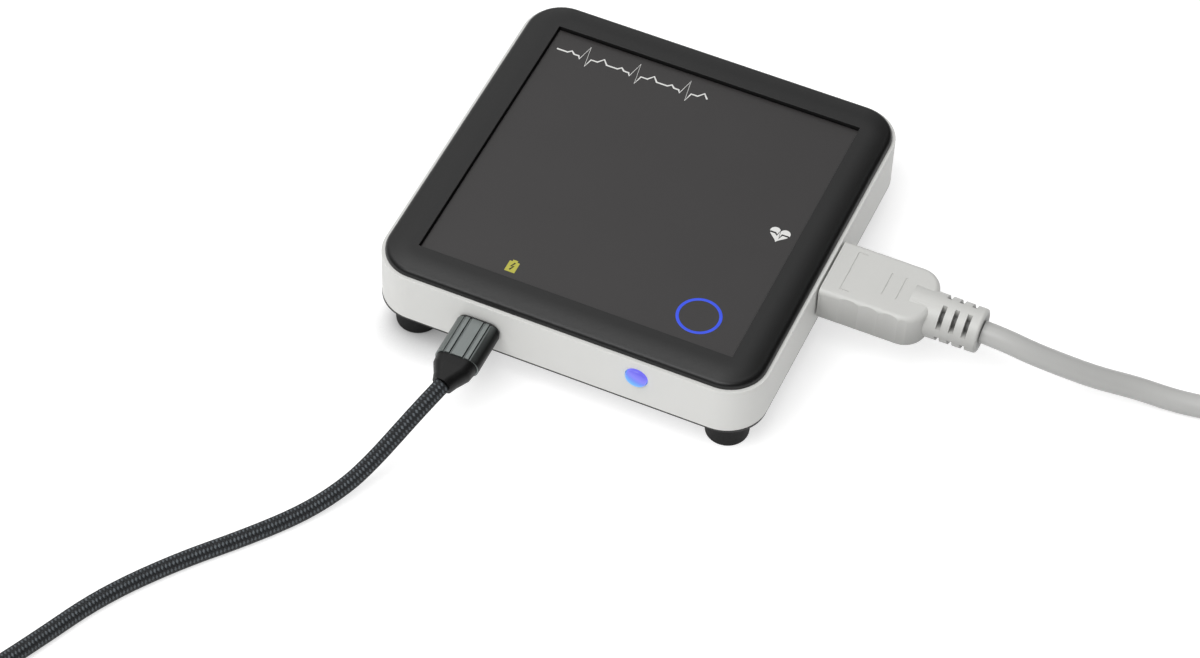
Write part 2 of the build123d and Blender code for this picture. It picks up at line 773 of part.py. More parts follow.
def coil_steps(start, heading, side, outer_radius, pitch, layer, in_count, out_count):
    """Points and directions at each quarter turn of a two-layer coil.

    The turns spiral in on the lower layer, climb in the half turn round the reversal, and spiral
    out again above. side is 1 where the coil lies to the left of its heading and -1 to the right.
    """
    way = Vector(*heading).normalized()
    outward = Vector(way.Y, -way.X, 0) * side
    rate = pitch / (2 * pi)
    slope = sqrt(outer_radius ** 2 + rate ** 2)
    ahead = way * (outer_radius / slope) + outward * (rate / slope)
    radial = outward * (outer_radius / slope) - way * (rate / slope)
    centre = start - radial * outer_radius
    steps = []
    for quarter in range(in_count + out_count + 1):
        turned = quarter * pi / 2
        back = abs(quarter - in_count)
        radius = outer_radius - rate * (in_count - back) * pi / 2
        inward = 0 if back == 0 else (-rate if quarter < in_count else rate)
        level = 0 if quarter < in_count else (layer / 2 if back == 0 else layer)
        climb = layer / pi * climb_share if back == 0 else 0
        out_way = radial * cos(turned) + ahead * sin(turned)
        round_way = ahead * cos(turned) - radial * sin(turned)
        up = Vector(0, 0, 1)
        place = centre + out_way * radius + up * level
        direction = (out_way * inward + round_way * radius + up * climb).normalized()
        steps.append((place, direction))
    return centre, radial, ahead, steps


def coil_tube(start, heading, diameter, steps):
    """Round coil as one tube, faceted, with a straight end one diameter long at both ends"""
    way = Vector(*heading).normalized()
    with BuildPart() as coil:
        with BuildLine() as coil_path:
            Line(start, steps[0][0])
            for (place, direction), (next_place, next_direction) in zip(steps, steps[1:]):
                arc_pair(place, direction, next_place, next_direction)
            last_place, last_way = steps[-1]
            Line(last_place, last_place + last_way * diameter)
        with BuildSketch(Plane(origin=start, x_dir=(0, 0, 1), z_dir=way)):
            RegularPolygon(diameter / 2, coil_side_count)
        sweep(path=coil_path.line)
    centre_line = coil_path.wire()
    samples = [centre_line @ (index / coil_sample_count) for index in range(coil_sample_count + 1)]
    spacing = centre_line.length / coil_sample_count
    apart = int(2 * pi * coil_guard_share * diameter / spacing) + 1
    gap = min(
        (samples[first] - samples[second]).length
        for first in range(0, coil_sample_count, coil_stride_count)
        for second in range(first + apart, coil_sample_count + 1)
    )
    print("  coil length", round(centre_line.length, 1), "least gap", round(gap - diameter, 2))
    return coil.part


def coil_band(centre, radial, ahead, turned, diameter, steps, quarters, pitch, layer, width, floor):
    """Closed strap round the coil's bundle of turns at one place"""
    turns_in = quarters[0] / 4
    turns_all = sum(quarters) / 4
    share = turned / (2 * pi)
    laps = [share + lap for lap in range(int(turns_all) + 1) if share + lap <= turns_all]
    depths = [turns_in - abs(turns_in - lap) for lap in laps]
    outer_radius = (steps[0][0] - centre).length
    outermost = outer_radius - pitch * min(depths)
    innermost = outer_radius - pitch * max(depths)
    sag = width ** 2 / (8 * innermost)
    inside = innermost - diameter / 2 - sag - fit_gap
    outside = outermost + diameter / 2 + fit_gap
    out_way = radial * cos(turned) + ahead * sin(turned)
    along = ahead * cos(turned) - radial * sin(turned)
    low = floor + band_thickness
    high = steps[0][0].Z + layer + diameter / 2 + fit_gap
    middle = centre + out_way * ((inside + outside) / 2)
    plane = Plane(
        origin=(middle.X, middle.Y, (low + high) / 2), x_dir=out_way, z_dir=along
    ).offset(-width / 2)
    with BuildPart() as band:
        with BuildSketch(plane):
            RectangleRounded(
                outside - inside + 2 * band_thickness,
                high - low + 2 * band_thickness,
                band_round,
            )
            RectangleRounded(
                outside - inside,
                high - low,
                band_round - band_thickness,
                mode=Mode.SUBTRACT,
            )
        extrude(amount=width)
    return band.part


# Shares and counts that the two leads have in common
sleeve_corner_share = 0.46
groove_shares = (-0.297, -0.155, 0.155, 0.297)
groove_width = 0.7
groove_depth = 0.3
relief_shares = ((0, 1.0, 0.92), (0.35, 0.88, 0.94), (0.75, 0.3, 0.97), (1.0, 0.04, 0.98))
bend_share = 0.45
climb_share = 1.5
coil_side_count = 6
coil_sample_count = 1600
coil_stride_count = 4
coil_guard_share = 1.5
band_thickness = 0.8
band_round = 1.6
coil_lift = band_thickness + fit_gap
socket_stop_gap = 0.4

# USB plug shell: drawn steel tube that enters the socket round its tongue
usb_plug_y = front_y - plug_gap
usb_tube_wall = 0.42
usb_tube_reach = usb_back_y - tongue_block - socket_stop_gap - usb_plug_y
with BuildPart() as usb_plug_shell:
    with BuildSketch(Plane.XZ.offset(-usb_plug_y)):
        with Locations((usb_x, usb_z)):
            SlotOverall(usb_shell_width, usb_shell_height)
            SlotOverall(
                usb_shell_width - 2 * usb_tube_wall,
                usb_shell_height - 2 * usb_tube_wall,
                mode=Mode.SUBTRACT,
            )
    extrude(amount=-usb_tube_reach)
usb_plug_shell.part.label = "usb_plug_shell"
export_step(usb_plug_shell.part, "parts/usb_plug_shell.step")

# USB plug core: black moulding behind the metal shell, its collar shows as a dark rim at the wall
usb_sleeve_width = 12.3
usb_sleeve_height = 6.8
usb_sleeve_length = 13.0
sleeve_wall = 0.6
collar_length = 0.6
collar_inset = 0.2
usb_plug_plane = Plane(origin=(usb_x, usb_plug_y, usb_z), x_dir=(1, 0, 0), z_dir=(0, -1, 0))
with BuildPart() as usb_plug_core:
    with BuildSketch(usb_plug_plane):
        RectangleRounded(
            usb_sleeve_width - 2 * collar_inset,
            usb_sleeve_height - 2 * collar_inset,
            usb_sleeve_height * sleeve_corner_share - collar_inset,
        )
    extrude(amount=collar_length)
    with BuildSketch(usb_plug_plane.offset(collar_length)):
        RectangleRounded(
            usb_sleeve_width - 2 * (sleeve_wall + slip_gap),
            usb_sleeve_height - 2 * (sleeve_wall + slip_gap),
            usb_sleeve_height * sleeve_corner_share - sleeve_wall - slip_gap,
        )
    extrude(amount=usb_sleeve_length)
usb_plug_core.part.label = "usb_plug_core"
export_step(usb_plug_core.part, "parts/usb_plug_core.step")

# USB plug sleeve: ribbed grey aluminium tube over the core
usb_plug_sleeve = grooved_sleeve(
    usb_plug_plane.offset(collar_length), usb_sleeve_width, usb_sleeve_height, usb_sleeve_length, sleeve_wall
)
usb_plug_sleeve.label = "usb_plug_sleeve"
export_step(usb_plug_sleeve, "parts/usb_plug_sleeve.step")

# USB strain relief: black rubber, from the sleeve's oval down to the cord
usb_relief_length = 8.2
relief_inset = 0.4
relief_wall = 0.6
usb_relief_plane = usb_plug_plane.offset(collar_length + usb_sleeve_length)
usb_relief_lean = 0.3
usb_relief_droop = 0.1
usb_exit = usb_relief_plane.offset(usb_relief_length).origin - Vector(usb_relief_lean, 0, usb_relief_droop)

# USB cord route: out of the relief, down to the table and away to the left
usb_radius = usb_cord_diameter / 2
usb_coil_z = usb_radius + coil_lift
usb_route = [
    (usb_exit.X, usb_exit.Y, usb_exit.Z),
    (-23.7, -85.0, 17.7),
    (-27.6, -92.2, 14.4),
    (-31.0, -99.6, 8.8),
    (-34.9, -107.6, 4.2),
    (-41.4, -117.0, usb_radius),
    (-52.0, -130.8, usb_radius),
    (-64.3, -147.0, usb_radius),
    (-75.2, -164.0, usb_radius),
    (-83.9, -182.5, usb_radius),
    (-90.3, -198.0, usb_coil_z),
    (-95.8, -213.2, usb_coil_z),
]
usb_exit_way = (Vector(*usb_route[1]) - usb_exit).normalized()
usb_exit_side = usb_exit_way.cross(Vector(0, 0, 1)).normalized()
usb_exit_plane = Plane(origin=usb_exit, x_dir=-usb_exit_side, z_dir=usb_exit_way)
usb_strain_relief = tapered_relief(
    usb_relief_plane,
    usb_sleeve_width - 2 * relief_inset,
    usb_sleeve_height - 2 * relief_inset,
    usb_exit_plane,
    usb_cord_diameter / 2 + relief_wall,
)
usb_strain_relief.label = "usb_strain_relief"
export_step(usb_strain_relief, "parts/usb_strain_relief.step")

# USB cord: dark braid, one smooth tube from the relief to the put-away coil
print("usb cord")
usb_cord = cord_tube(usb_route, usb_cord_diameter)
usb_cord.label = "usb_cord"
export_step(usb_cord, "parts/usb_cord.step")

# USB cord coil: the rest of the cord put away in two layers beside the free stretch's end
usb_coil_radius = 31.2
usb_coil_pitch = 5.0
usb_coil_layer = 5.0
usb_in_count = 11
usb_out_count = 10
usb_coil_start = Vector(*usb_route[-1])
usb_coil_way = (usb_coil_start - Vector(*usb_route[-2])).normalized()
usb_coil_centre, usb_radial, usb_ahead, usb_steps = coil_steps(
    usb_coil_start + usb_coil_way * usb_cord_diameter,
    usb_coil_way,
    1,
    usb_coil_radius,
    usb_coil_pitch,
    usb_coil_layer,
    usb_in_count,
    usb_out_count,
)
print("usb coil")
usb_cord_coil = coil_tube(usb_coil_start, usb_coil_way, usb_cord_diameter, usb_steps)
usb_cord_coil.label = "usb_cord_coil"
export_step(usb_cord_coil, "parts/usb_cord_coil.step")

# USB cord tie: black hook-and-loop band round the bundle
usb_band_width = 9.0
usb_cord_tie = coil_band(
    usb_coil_centre, usb_radial, usb_ahead, pi, usb_cord_diameter, usb_steps,
    (usb_in_count, usb_out_count), usb_coil_pitch, usb_coil_layer, usb_band_width, 0,
)
usb_cord_tie.label = "usb_cord_tie"
export_step(usb_cord_tie, "parts/usb_cord_tie.step")

# USB cord tail: from the coil's upper layer down to the computer plug that lies beside it
usb_a_width = 15.6
usb_a_height = 7.8
usb_a_length = 19.0
usb_a_relief_length = 9.0
usb_a_z = usb_a_height / 2
usb_tail_start = usb_steps[-1][0] + usb_steps[-1][1] * usb_cord_diameter
usb_tail_way = usb_steps[-1][1]
usb_tail_side = Vector(-usb_tail_way.Y, usb_tail_way.X, 0)
usb_tail_reach = (0, 9.0, 18.5, 28.5, 37.0)
usb_tail_drift = (0, 0, 0.6, 4.0, 8.0)
usb_tail_level = (usb_tail_start.Z, usb_tail_start.Z, (usb_tail_start.Z + usb_a_z) / 2, usb_a_z, usb_a_z)
usb_tail_points = [
    Vector(usb_tail_start.X, usb_tail_start.Y, level) + usb_tail_way * reach + usb_tail_side * drift
    for reach, drift, level in zip(usb_tail_reach, usb_tail_drift, usb_tail_level)
]
print("usb tail")
usb_cord_tail = cord_tube([(point.X, point.Y, point.Z) for point in usb_tail_points], usb_cord_diameter)
usb_cord_tail.label = "usb_cord_tail"
export_step(usb_cord_tail, "parts/usb_cord_tail.step")

# Computer plug at the cord's far end: relief, sleeve, core, metal shell and its contact block
usb_a_plane = upright_plane(
    usb_tail_points[-1],
    (usb_tail_points[-1].X - usb_tail_points[-2].X, usb_tail_points[-1].Y - usb_tail_points[-2].Y, 0),
)
usb_a_relief_end = usb_a_plane.offset(usb_a_relief_length)
usb_a_back = Plane(origin=usb_a_relief_end.origin, x_dir=usb_a_plane.x_dir, z_dir=-usb_a_plane.z_dir)
usb_a_strain_relief = tapered_relief(
    usb_a_back,
    usb_a_width - 2 * relief_inset,
    usb_a_height - 2 * relief_inset,
    usb_a_back.offset(usb_a_relief_length),
    usb_cord_diameter / 2 + relief_wall,
)
usb_a_strain_relief.label = "usb_a_strain_relief"
export_step(usb_a_strain_relief, "parts/usb_a_strain_relief.step")
usb_a_sleeve = grooved_sleeve(usb_a_relief_end, usb_a_width, usb_a_height, usb_a_length, sleeve_wall)
usb_a_sleeve.label = "usb_a_sleeve"
export_step(usb_a_sleeve, "parts/usb_a_sleeve.step")
with BuildPart() as usb_a_core:
    with BuildSketch(usb_a_relief_end):
        RectangleRounded(
            usb_a_width - 2 * (sleeve_wall + slip_gap),
            usb_a_height - 2 * (sleeve_wall + slip_gap),
            usb_a_height * sleeve_corner_share - sleeve_wall - slip_gap,
        )
    extrude(amount=usb_a_length)
usb_a_core.part.label = "usb_a_core"
export_step(usb_a_core.part, "parts/usb_a_core.step")
usb_a_shell_width = 12.0
usb_a_shell_height = 4.5
usb_a_shell_length = 12.0
usb_a_shell_wall = 0.35
usb_a_face = usb_a_relief_end.offset(usb_a_length)
with BuildPart() as usb_a_shell:
    with BuildSketch(usb_a_face):
        Rectangle(usb_a_shell_width, usb_a_shell_height)
        Rectangle(
            usb_a_shell_width - 2 * usb_a_shell_wall,
            usb_a_shell_height - 2 * usb_a_shell_wall,
            mode=Mode.SUBTRACT,
        )
    extrude(amount=usb_a_shell_length)
usb_a_shell.part.label = "usb_a_shell"
export_step(usb_a_shell.part, "parts/usb_a_shell.step")
usb_a_block_height = 1.9
usb_a_block_length = 11.2
usb_a_cavity_low = -usb_a_shell_height / 2 + usb_a_shell_wall + slip_gap
with BuildPart() as usb_a_contact_block:
    with BuildSketch(usb_a_face):
        with Locations((0, usb_a_cavity_low)):
            Rectangle(
                usb_a_shell_width - 2 * (usb_a_shell_wall + slip_gap),
                usb_a_block_height,
                align=(Align.CENTER, Align.MIN),
            )
    extrude(amount=usb_a_block_length)
usb_a_contact_block.part.label = "usb_a_contact_block"
export_step(usb_a_contact_block.part, "parts/usb_a_contact_block.step")

# Trunk plug shell: folded steel tube with cut lower corners that enters the trunk socket
lead_plug_x = right_x + plug_gap
lead_tube_wall = 0.4
lead_tube_reach = lead_plug_x - (lead_inner_back_x + lead_block + socket_stop_gap)
with BuildPart() as lead_plug_shell:
    with BuildSketch(Plane.YZ.offset(lead_plug_x)):
        with Locations((lead_y, lead_z)):
            Polygon(*d_outline(lead_shell_width, lead_shell_height), align=None)
            Polygon(
                *d_outline(lead_shell_width - 2 * lead_tube_wall, lead_shell_height - 2 * lead_tube_wall),
                align=None,
                mode=Mode.SUBTRACT,
            )
    extrude(amount=-lead_tube_reach)
lead_plug_shell.part.label = "lead_plug_shell"
export_step(lead_plug_shell.part, "parts/lead_plug_shell.step")

# Trunk plug: one grey moulding, a flat grip with scalloped sides that runs into a slotted round boot
plug_width = 19.8
plug_height = 11.2
plug_length = 28.8
plug_shoulder = 6.5
plug_edge = 1.5
scallop_pitch = 5.6
scallop_count = 4
scallop_start = 5.6
scallop_depth = 0.5
boot_radius = 6.4
boot_end_radius = 6.1
boot_length = 14.0
boot_edge = 0.7
boot_root = 6.0
slot_pitch = 3.5
slot_count = 3
slot_width = 1.3
slot_lead = 3.6
slot_spoke_share = 0.33
slot_spoke_count = 4
slot_angle = 82.0
boot_core_wall = 0.48
boot_core_radius = lead_cable_diameter / 2 + boot_core_wall
lead_exit_x = lead_plug_x + plug_length + boot_length
scallop_radius = ((scallop_pitch / 2) ** 2 + scallop_depth ** 2) / (2 * scallop_depth)
scallop_centre = plug_width / 2 - scallop_depth + scallop_radius
mark_depth = 0.2
mark_width = 0.4
frame_mark_start = 4.7
frame_mark_length = 2.6
frame_mark_side = 14.4
grip_mark_places = (15.5, 19.5)
grip_mark_length = 8.0
with BuildPart() as lead_plug:
    with BuildSketch(Plane.XY.offset(lead_z - plug_height / 2)):
        with Locations((lead_plug_x, lead_y)):
            Rectangle(plug_length, plug_width, align=(Align.MIN, Align.CENTER))
    extrude(amount=plug_height)
    fillet(lead_plug.edges().filter_by(Axis.Z).group_by(Axis.X)[-1], plug_shoulder)
    for face in (lead_plug.faces().sort_by(Axis.Z)[0], lead_plug.faces().sort_by(Axis.Z)[-1]):
        fillet(face.edges().sort_by(Axis.X)[1:], plug_edge)
    with BuildSketch(Plane.XY.offset(lead_z - plug_height / 2)):
        for index in range(scallop_count):
            scallop_x = lead_plug_x + scallop_start + (index + 1 / 2) * scallop_pitch
            for side in (-1, 1):
                with Locations((scallop_x, lead_y + side * scallop_centre)):
                    Circle(scallop_radius)
    extrude(amount=plug_height, mode=Mode.SUBTRACT)
    with BuildSketch(Plane.XZ.offset(-lead_y)):
        with BuildLine() as boot_outline:
            Polyline(
                (lead_plug_x + plug_length - boot_root, lead_z),
                (lead_plug_x + plug_length - boot_root, lead_z + boot_radius),
                (lead_exit_x, lead_z + boot_end_radius),
                (lead_exit_x, lead_z),
                close=True,
            )
        make_face()
        fillet(boot_outline.vertices().group_by(Axis.X)[-1].sort_by(Axis.Z)[-1], boot_edge)
    revolve(axis=Axis((0, lead_y, lead_z), (1, 0, 0)))
    for index in range(slot_count):
        slot_x = lead_plug_x + plug_length + slot_lead + index * slot_pitch
        with BuildSketch(Plane.YZ.offset(slot_x)):
            with Locations((lead_y, lead_z)):
                Circle(boot_radius + overrun)
                Circle(boot_core_radius, mode=Mode.SUBTRACT)
                with PolarLocations(0, slot_spoke_count, start_angle=slot_angle):
                    Rectangle(
                        2 * (boot_radius + 2 * overrun), boot_radius * slot_spoke_share * 2,
                        align=(Align.MIN, Align.CENTER), mode=Mode.SUBTRACT,
                    )
        extrude(amount=slot_width, mode=Mode.SUBTRACT)
    with BuildSketch(Plane.XY.offset(lead_z + plug_height / 2)):
        with Locations((lead_plug_x + frame_mark_start, lead_y)):
            Rectangle(frame_mark_length, frame_mark_side, align=(Align.MIN, Align.CENTER))
        with Locations((lead_plug_x + frame_mark_start + mark_width, lead_y)):
            Rectangle(
                frame_mark_length,
                frame_mark_side - 2 * mark_width,
                align=(Align.MIN, Align.CENTER),
                mode=Mode.SUBTRACT,
            )
        for mark_start in grip_mark_places:
            with Locations((lead_plug_x + mark_start, lead_y)):
                Rectangle(mark_width, grip_mark_length)
    extrude(amount=-mark_depth, mode=Mode.SUBTRACT)
lead_plug.part.label = "lead_plug"
export_step(lead_plug.part, "parts/lead_plug.step")

# Trunk cable: smooth grey jacket, out of the boot, down to the table and away to the right
lead_radius = lead_cable_diameter / 2
lead_coil_z = lead_radius + coil_lift
lead_route = [
    (lead_exit_x, lead_y, lead_z),
    (108.8, lead_y, lead_z),
    (119.8, 2.1, 15.9),
    (129.2, 6.6, 8.4),
    (139.0, 10.2, 4.2),
    (150.0, 12.6, lead_radius),
    (162.0, 14.6, lead_radius),
    (174.5, 17.6, lead_coil_z),
    (188.0, 21.0, lead_coil_z),
    (201.0, 24.4, lead_coil_z),
]
print("trunk cable")
lead_cable = cord_tube(lead_route, lead_cable_diameter)
lead_cable.label = "lead_cable"
export_step(lead_cable, "parts/lead_cable.step")

# Trunk cable coil: the rest of the cable put away in two layers
lead_coil_radius = 41.0
lead_coil_pitch = 6.8
lead_coil_layer = 6.8
lead_in_count = 10
lead_out_count = 11
lead_coil_start = Vector(*lead_route[-1])
lead_coil_way = (lead_coil_start - Vector(*lead_route[-2])).normalized()
lead_coil_centre, lead_radial, lead_ahead, lead_steps = coil_steps(
    lead_coil_start + lead_coil_way * lead_cable_diameter,
    lead_coil_way,
    -1,
    lead_coil_radius,
    lead_coil_pitch,
    lead_coil_layer,
    lead_in_count,
    lead_out_count,
)
print("trunk coil")
lead_cable_coil = coil_tube(lead_coil_start, lead_coil_way, lead_cable_diameter, lead_steps)
lead_cable_coil.label = "lead_cable_coil"
export_step(lead_cable_coil, "parts/lead_cable_coil.step")

# Trunk cable tie: grey hook-and-loop band round the bundle
lead_band_width = 12.0
lead_cable_tie = coil_band(
    lead_coil_centre, lead_radial, lead_ahead, pi / 4, lead_cable_diameter, lead_steps,
    (lead_in_count, lead_out_count), lead_coil_pitch, lead_coil_layer, lead_band_width, 0,
)
lead_cable_tie.label = "lead_cable_tie"
export_step(lead_cable_tie, "parts/lead_cable_tie.step")

# Trunk cable tail: from the coil's upper layer down to the yoke that lies beside it
yoke_height = 13.0
yoke_width = 34.0
yoke_length = 30.0
yoke_relief_length = 20.0
yoke_relief_radius = 5.2
yoke_z = yoke_height / 2
lead_tail_start = lead_steps[-1][0] + lead_steps[-1][1] * lead_cable_diameter
lead_tail_way = lead_steps[-1][1]
lead_tail_side = Vector(-lead_tail_way.Y, lead_tail_way.X, 0)
lead_tail_reach = (0, 13.0, 26.5, 41.0, 53.0)
lead_tail_drift = (0, 0, -1.5, -7.0, -14.5)
lead_tail_level = (lead_tail_start.Z, lead_tail_start.Z, (lead_tail_start.Z + yoke_z) / 2, yoke_z, yoke_z)
lead_tail_points = [
    Vector(lead_tail_start.X, lead_tail_start.Y, level) + lead_tail_way * reach + lead_tail_side * drift
    for reach, drift, level in zip(lead_tail_reach, lead_tail_drift, lead_tail_level)
]
print("trunk tail")
lead_cable_tail = cord_tube([(point.X, point.Y, point.Z) for point in lead_tail_points], lead_cable_diameter)
lead_cable_tail.label = "lead_cable_tail"
export_step(lead_cable_tail, "parts/lead_cable_tail.step")

# Yoke relief: tapered grey boot between the trunk cable and the yoke
yoke_plane = upright_plane(
    lead_tail_points[-1],
    (lead_tail_points[-1].X - lead_tail_points[-2].X, lead_tail_points[-1].Y - lead_tail_points[-2].Y, 0),
)
yoke_front = yoke_plane.offset(yoke_relief_length)
with BuildPart() as yoke_strain_relief:
    with BuildSketch(yoke_plane):
        Circle(lead_radius + relief_wall)
    with BuildSketch(yoke_front):
        Circle(yoke_relief_radius)
    loft()
yoke_strain_relief.part.label = "yoke_strain_relief"
export_step(yoke_strain_relief.part, "parts/yoke_strain_relief.step")

# Lead yoke: grey block at the cable's far end, with five sockets for the electrode leads
yoke_corner = 5.0
yoke_edge = 1.2
lead_socket_count = 5
lead_socket_pitch = 5.6
socket_bore = 0.8
socket_sleeve = 1.25
socket_depth = 9.0
yoke_far = yoke_front.offset(yoke_length)
with BuildPart() as lead_yoke:
    with BuildSketch(yoke_front):
        Rectangle(yoke_width, yoke_height)
    extrude(amount=yoke_length)
    fillet(lead_yoke.edges().filter_by(Axis.Z), yoke_corner)
    for face in (lead_yoke.faces().sort_by(Axis.Z)[0], lead_yoke.faces().sort_by(Axis.Z)[-1]):
        chamfer(face.edges(), yoke_edge)
    with BuildSketch(yoke_far):
        with GridLocations(lead_socket_pitch, 0, lead_socket_count, 1):
            Circle(socket_sleeve + slip_gap)
    extrude(amount=-socket_depth, mode=Mode.SUBTRACT)
lead_yoke.part.label = "lead_yoke"
export_step(lead_yoke.part, "parts/lead_yoke.step")

# Lead sockets: brass tubes in the yoke that take the pins of the electrode leads
socket_recess = 0.5
with BuildPart() as yoke_sockets:
    with BuildSketch(yoke_far.offset(-socket_recess)):
        with GridLocations(lead_socket_pitch, 0, lead_socket_count, 1):
            Circle(socket_sleeve)
            Circle(socket_bore, mode=Mode.SUBTRACT)
    extrude(amount=socket_recess - socket_depth)
yoke_sockets.part.label = "yoke_sockets"
export_step(yoke_sockets.part, "parts/yoke_sockets.step")

# Places on the two leads, printed for the looks script and the record
for title, places in (
    ("usb coil centre, start and end", [usb_coil_centre, usb_steps[0][0], usb_steps[-1][0]]),
    ("usb tail points", usb_tail_points),
    ("computer plug axis", [usb_a_relief_end.origin, usb_a_face.origin, usb_a_face.z_dir]),
    ("trunk coil centre, start and end", [lead_coil_centre, lead_steps[0][0], lead_steps[-1][0]]),
    ("trunk tail points", lead_tail_points),
    ("yoke axis", [yoke_front.origin, yoke_far.origin, yoke_far.z_dir]),
):
    print(title, [(round(place.X, 3), round(place.Y, 3), round(place.Z, 3)) for place in places])
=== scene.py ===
"""Looks of a veterinary ECG recorder box with its USB lead and its patient trunk cable."""
import json
from math import cos, pi, radians, sin, sqrt

import bpy
from mathutils import Matrix, Vector

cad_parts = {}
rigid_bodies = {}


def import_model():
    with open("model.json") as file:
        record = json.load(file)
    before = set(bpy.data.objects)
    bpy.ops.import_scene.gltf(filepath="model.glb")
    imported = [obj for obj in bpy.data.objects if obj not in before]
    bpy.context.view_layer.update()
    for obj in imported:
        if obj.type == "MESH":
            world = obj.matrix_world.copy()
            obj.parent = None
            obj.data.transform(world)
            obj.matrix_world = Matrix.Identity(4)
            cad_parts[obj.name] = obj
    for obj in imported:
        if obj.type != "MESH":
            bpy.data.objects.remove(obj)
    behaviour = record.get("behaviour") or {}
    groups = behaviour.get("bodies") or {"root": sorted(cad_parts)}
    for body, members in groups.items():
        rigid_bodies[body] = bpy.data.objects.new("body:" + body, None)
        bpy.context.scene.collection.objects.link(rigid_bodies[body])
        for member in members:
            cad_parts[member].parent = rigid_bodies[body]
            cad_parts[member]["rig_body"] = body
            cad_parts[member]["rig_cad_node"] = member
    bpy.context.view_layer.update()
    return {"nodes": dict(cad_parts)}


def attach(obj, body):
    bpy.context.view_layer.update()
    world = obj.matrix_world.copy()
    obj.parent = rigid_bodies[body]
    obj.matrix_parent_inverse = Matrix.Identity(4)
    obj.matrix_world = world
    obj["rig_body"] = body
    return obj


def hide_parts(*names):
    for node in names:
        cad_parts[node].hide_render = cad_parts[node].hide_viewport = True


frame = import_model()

# the solids come in selected, and an operator acts on all that is selected
bpy.ops.object.select_all(action="DESELECT")


# The camera: a short telephoto view from the front and above, a little to the right.
# Its place and axes are worked out from the photographed box's straight edges.
camera_place = Vector((0.24951, -0.63488, 0.77675))
camera_right = Vector((0.91255652, 0.40807865, 0.02669095))
camera_down = Vector((0.32772225, -0.69069922, -0.64461827))
camera_ahead = Vector((-0.24461954, 0.59699783, -0.76403853))
bpy.ops.object.camera_add()
camera = bpy.context.object
camera.name = "photo_camera"
camera_turn = Matrix((camera_right, -camera_down, -camera_ahead)).transposed().to_4x4()
camera.matrix_world = Matrix.Translation(camera_place) @ camera_turn
camera.data.lens = 113.67
camera.data.sensor_width = 36
camera.data.clip_start = 0.01
bpy.context.scene.camera = camera
bpy.context.scene.view_settings.view_transform = "Standard"


# The studio: a matt white floor, a soft lamp above and to the left, and a white room.
# The camera sees the room and the floor as white paper, with the object's soft shadow on it.
def linear(hex_colour):
    """The linear colour, with alpha, of an sRGB hex value"""
    shares = [int(hex_colour[place:place + 2], 16) / 255 for place in (1, 3, 5)]
    return [s / 12.92 if s <= 0.04045 else ((s + 0.055) / 1.055) ** 2.4 for s in shares] + [1]


def set_inputs(node, inputs):
    """Gives inputs their values, or links them to a node and the name of its output"""
    for socket, value in inputs.items():
        if isinstance(value, tuple) and isinstance(value[0], bpy.types.Node):
            node.id_data.links.new(value[0].outputs[value[1]], node.inputs[socket])
        else:
            node.inputs[socket].default_value = value


def add_node(tree, kind, inputs=None, **settings):
    """Adds a shader node of a kind, such as Math, with its settings and then its inputs"""
    made = tree.nodes.new("ShaderNode" + kind)
    for name, value in settings.items():
        setattr(made, name, value)
    set_inputs(made, inputs or {})
    return made


def sort_rays(tree):
    """Empties a studio surface's tree, and tells mirrored and refracted rays from the others"""
    tree.nodes.clear()
    ray = add_node(tree, "LightPath")
    mirror = add_node(
        tree, "Math", {0: (ray, "Is Glossy Ray"), 1: (ray, "Is Transmission Ray")},
        operation="MAXIMUM",
    )
    return ray, mirror


paper_white = linear("#ffffff")
# the room's light at its left and right, and how far from its middle the change reaches
room_light_left, room_light_right = 0.6, 0.47
room_turn = 0.6
# glossy faces see a dark room that brightens to its left and back, most of all overhead
gloss_left, gloss_back, gloss_high = (0.04, -0.24), (-0.25, 0.2), (0.76, 0.95)
room_gloss_low, room_gloss_side, room_gloss_top = 0.05, 0.76, 4.6
world = bpy.data.worlds.new("white_room")
bpy.context.scene.world = world
world.use_nodes = True
tree = world.node_tree
ray, mirror = sort_rays(tree)
direction = add_node(tree, "TexCoord")
sides = add_node(tree, "SeparateXYZ", {"Vector": (direction, "Generated")})
left, back, high = [
    add_node(
        tree, "MapRange", {0: (sides, axis), 1: start, 2: end, 3: low, 4: top},
        interpolation_type="SMOOTHSTEP",
    )
    for axis, (start, end), low, top in (
        ("X", gloss_left, 0.0, 1.0), ("Y", gloss_back, 0.0, 1.0),
        ("Z", gloss_high, room_gloss_side, room_gloss_top),
    )
]
left_back = add_node(tree, "Math", {0: (left, 0), 1: (back, 0)}, operation="MULTIPLY")
gloss = add_node(
    tree, "Math", {0: (left_back, 0), 1: (high, 0), 2: room_gloss_low}, operation="MULTIPLY_ADD"
)
across = add_node(
    tree, "MapRange",
    {0: (sides, "X"), 1: -room_turn, 2: room_turn, 3: room_light_left, 4: room_light_right},
)
lit = add_node(tree, "Mix", {0: (mirror, 0), 2: (across, 0), 3: (gloss, 0)}, data_type="FLOAT")
seen = add_node(tree, "Mix", {0: (ray, "Is Camera Ray"), 2: (lit, 0), 3: 1.0}, data_type="FLOAT")
room = add_node(tree, "Background", {"Color": paper_white, "Strength": (seen, 0)})
add_node(tree, "OutputWorld", {"Surface": (room, "Background")})

# one millimetre, in the scene's metres
MM = 0.001
floor_glow = 0.6
floor_matt = linear("#d2d2d2")[:3]
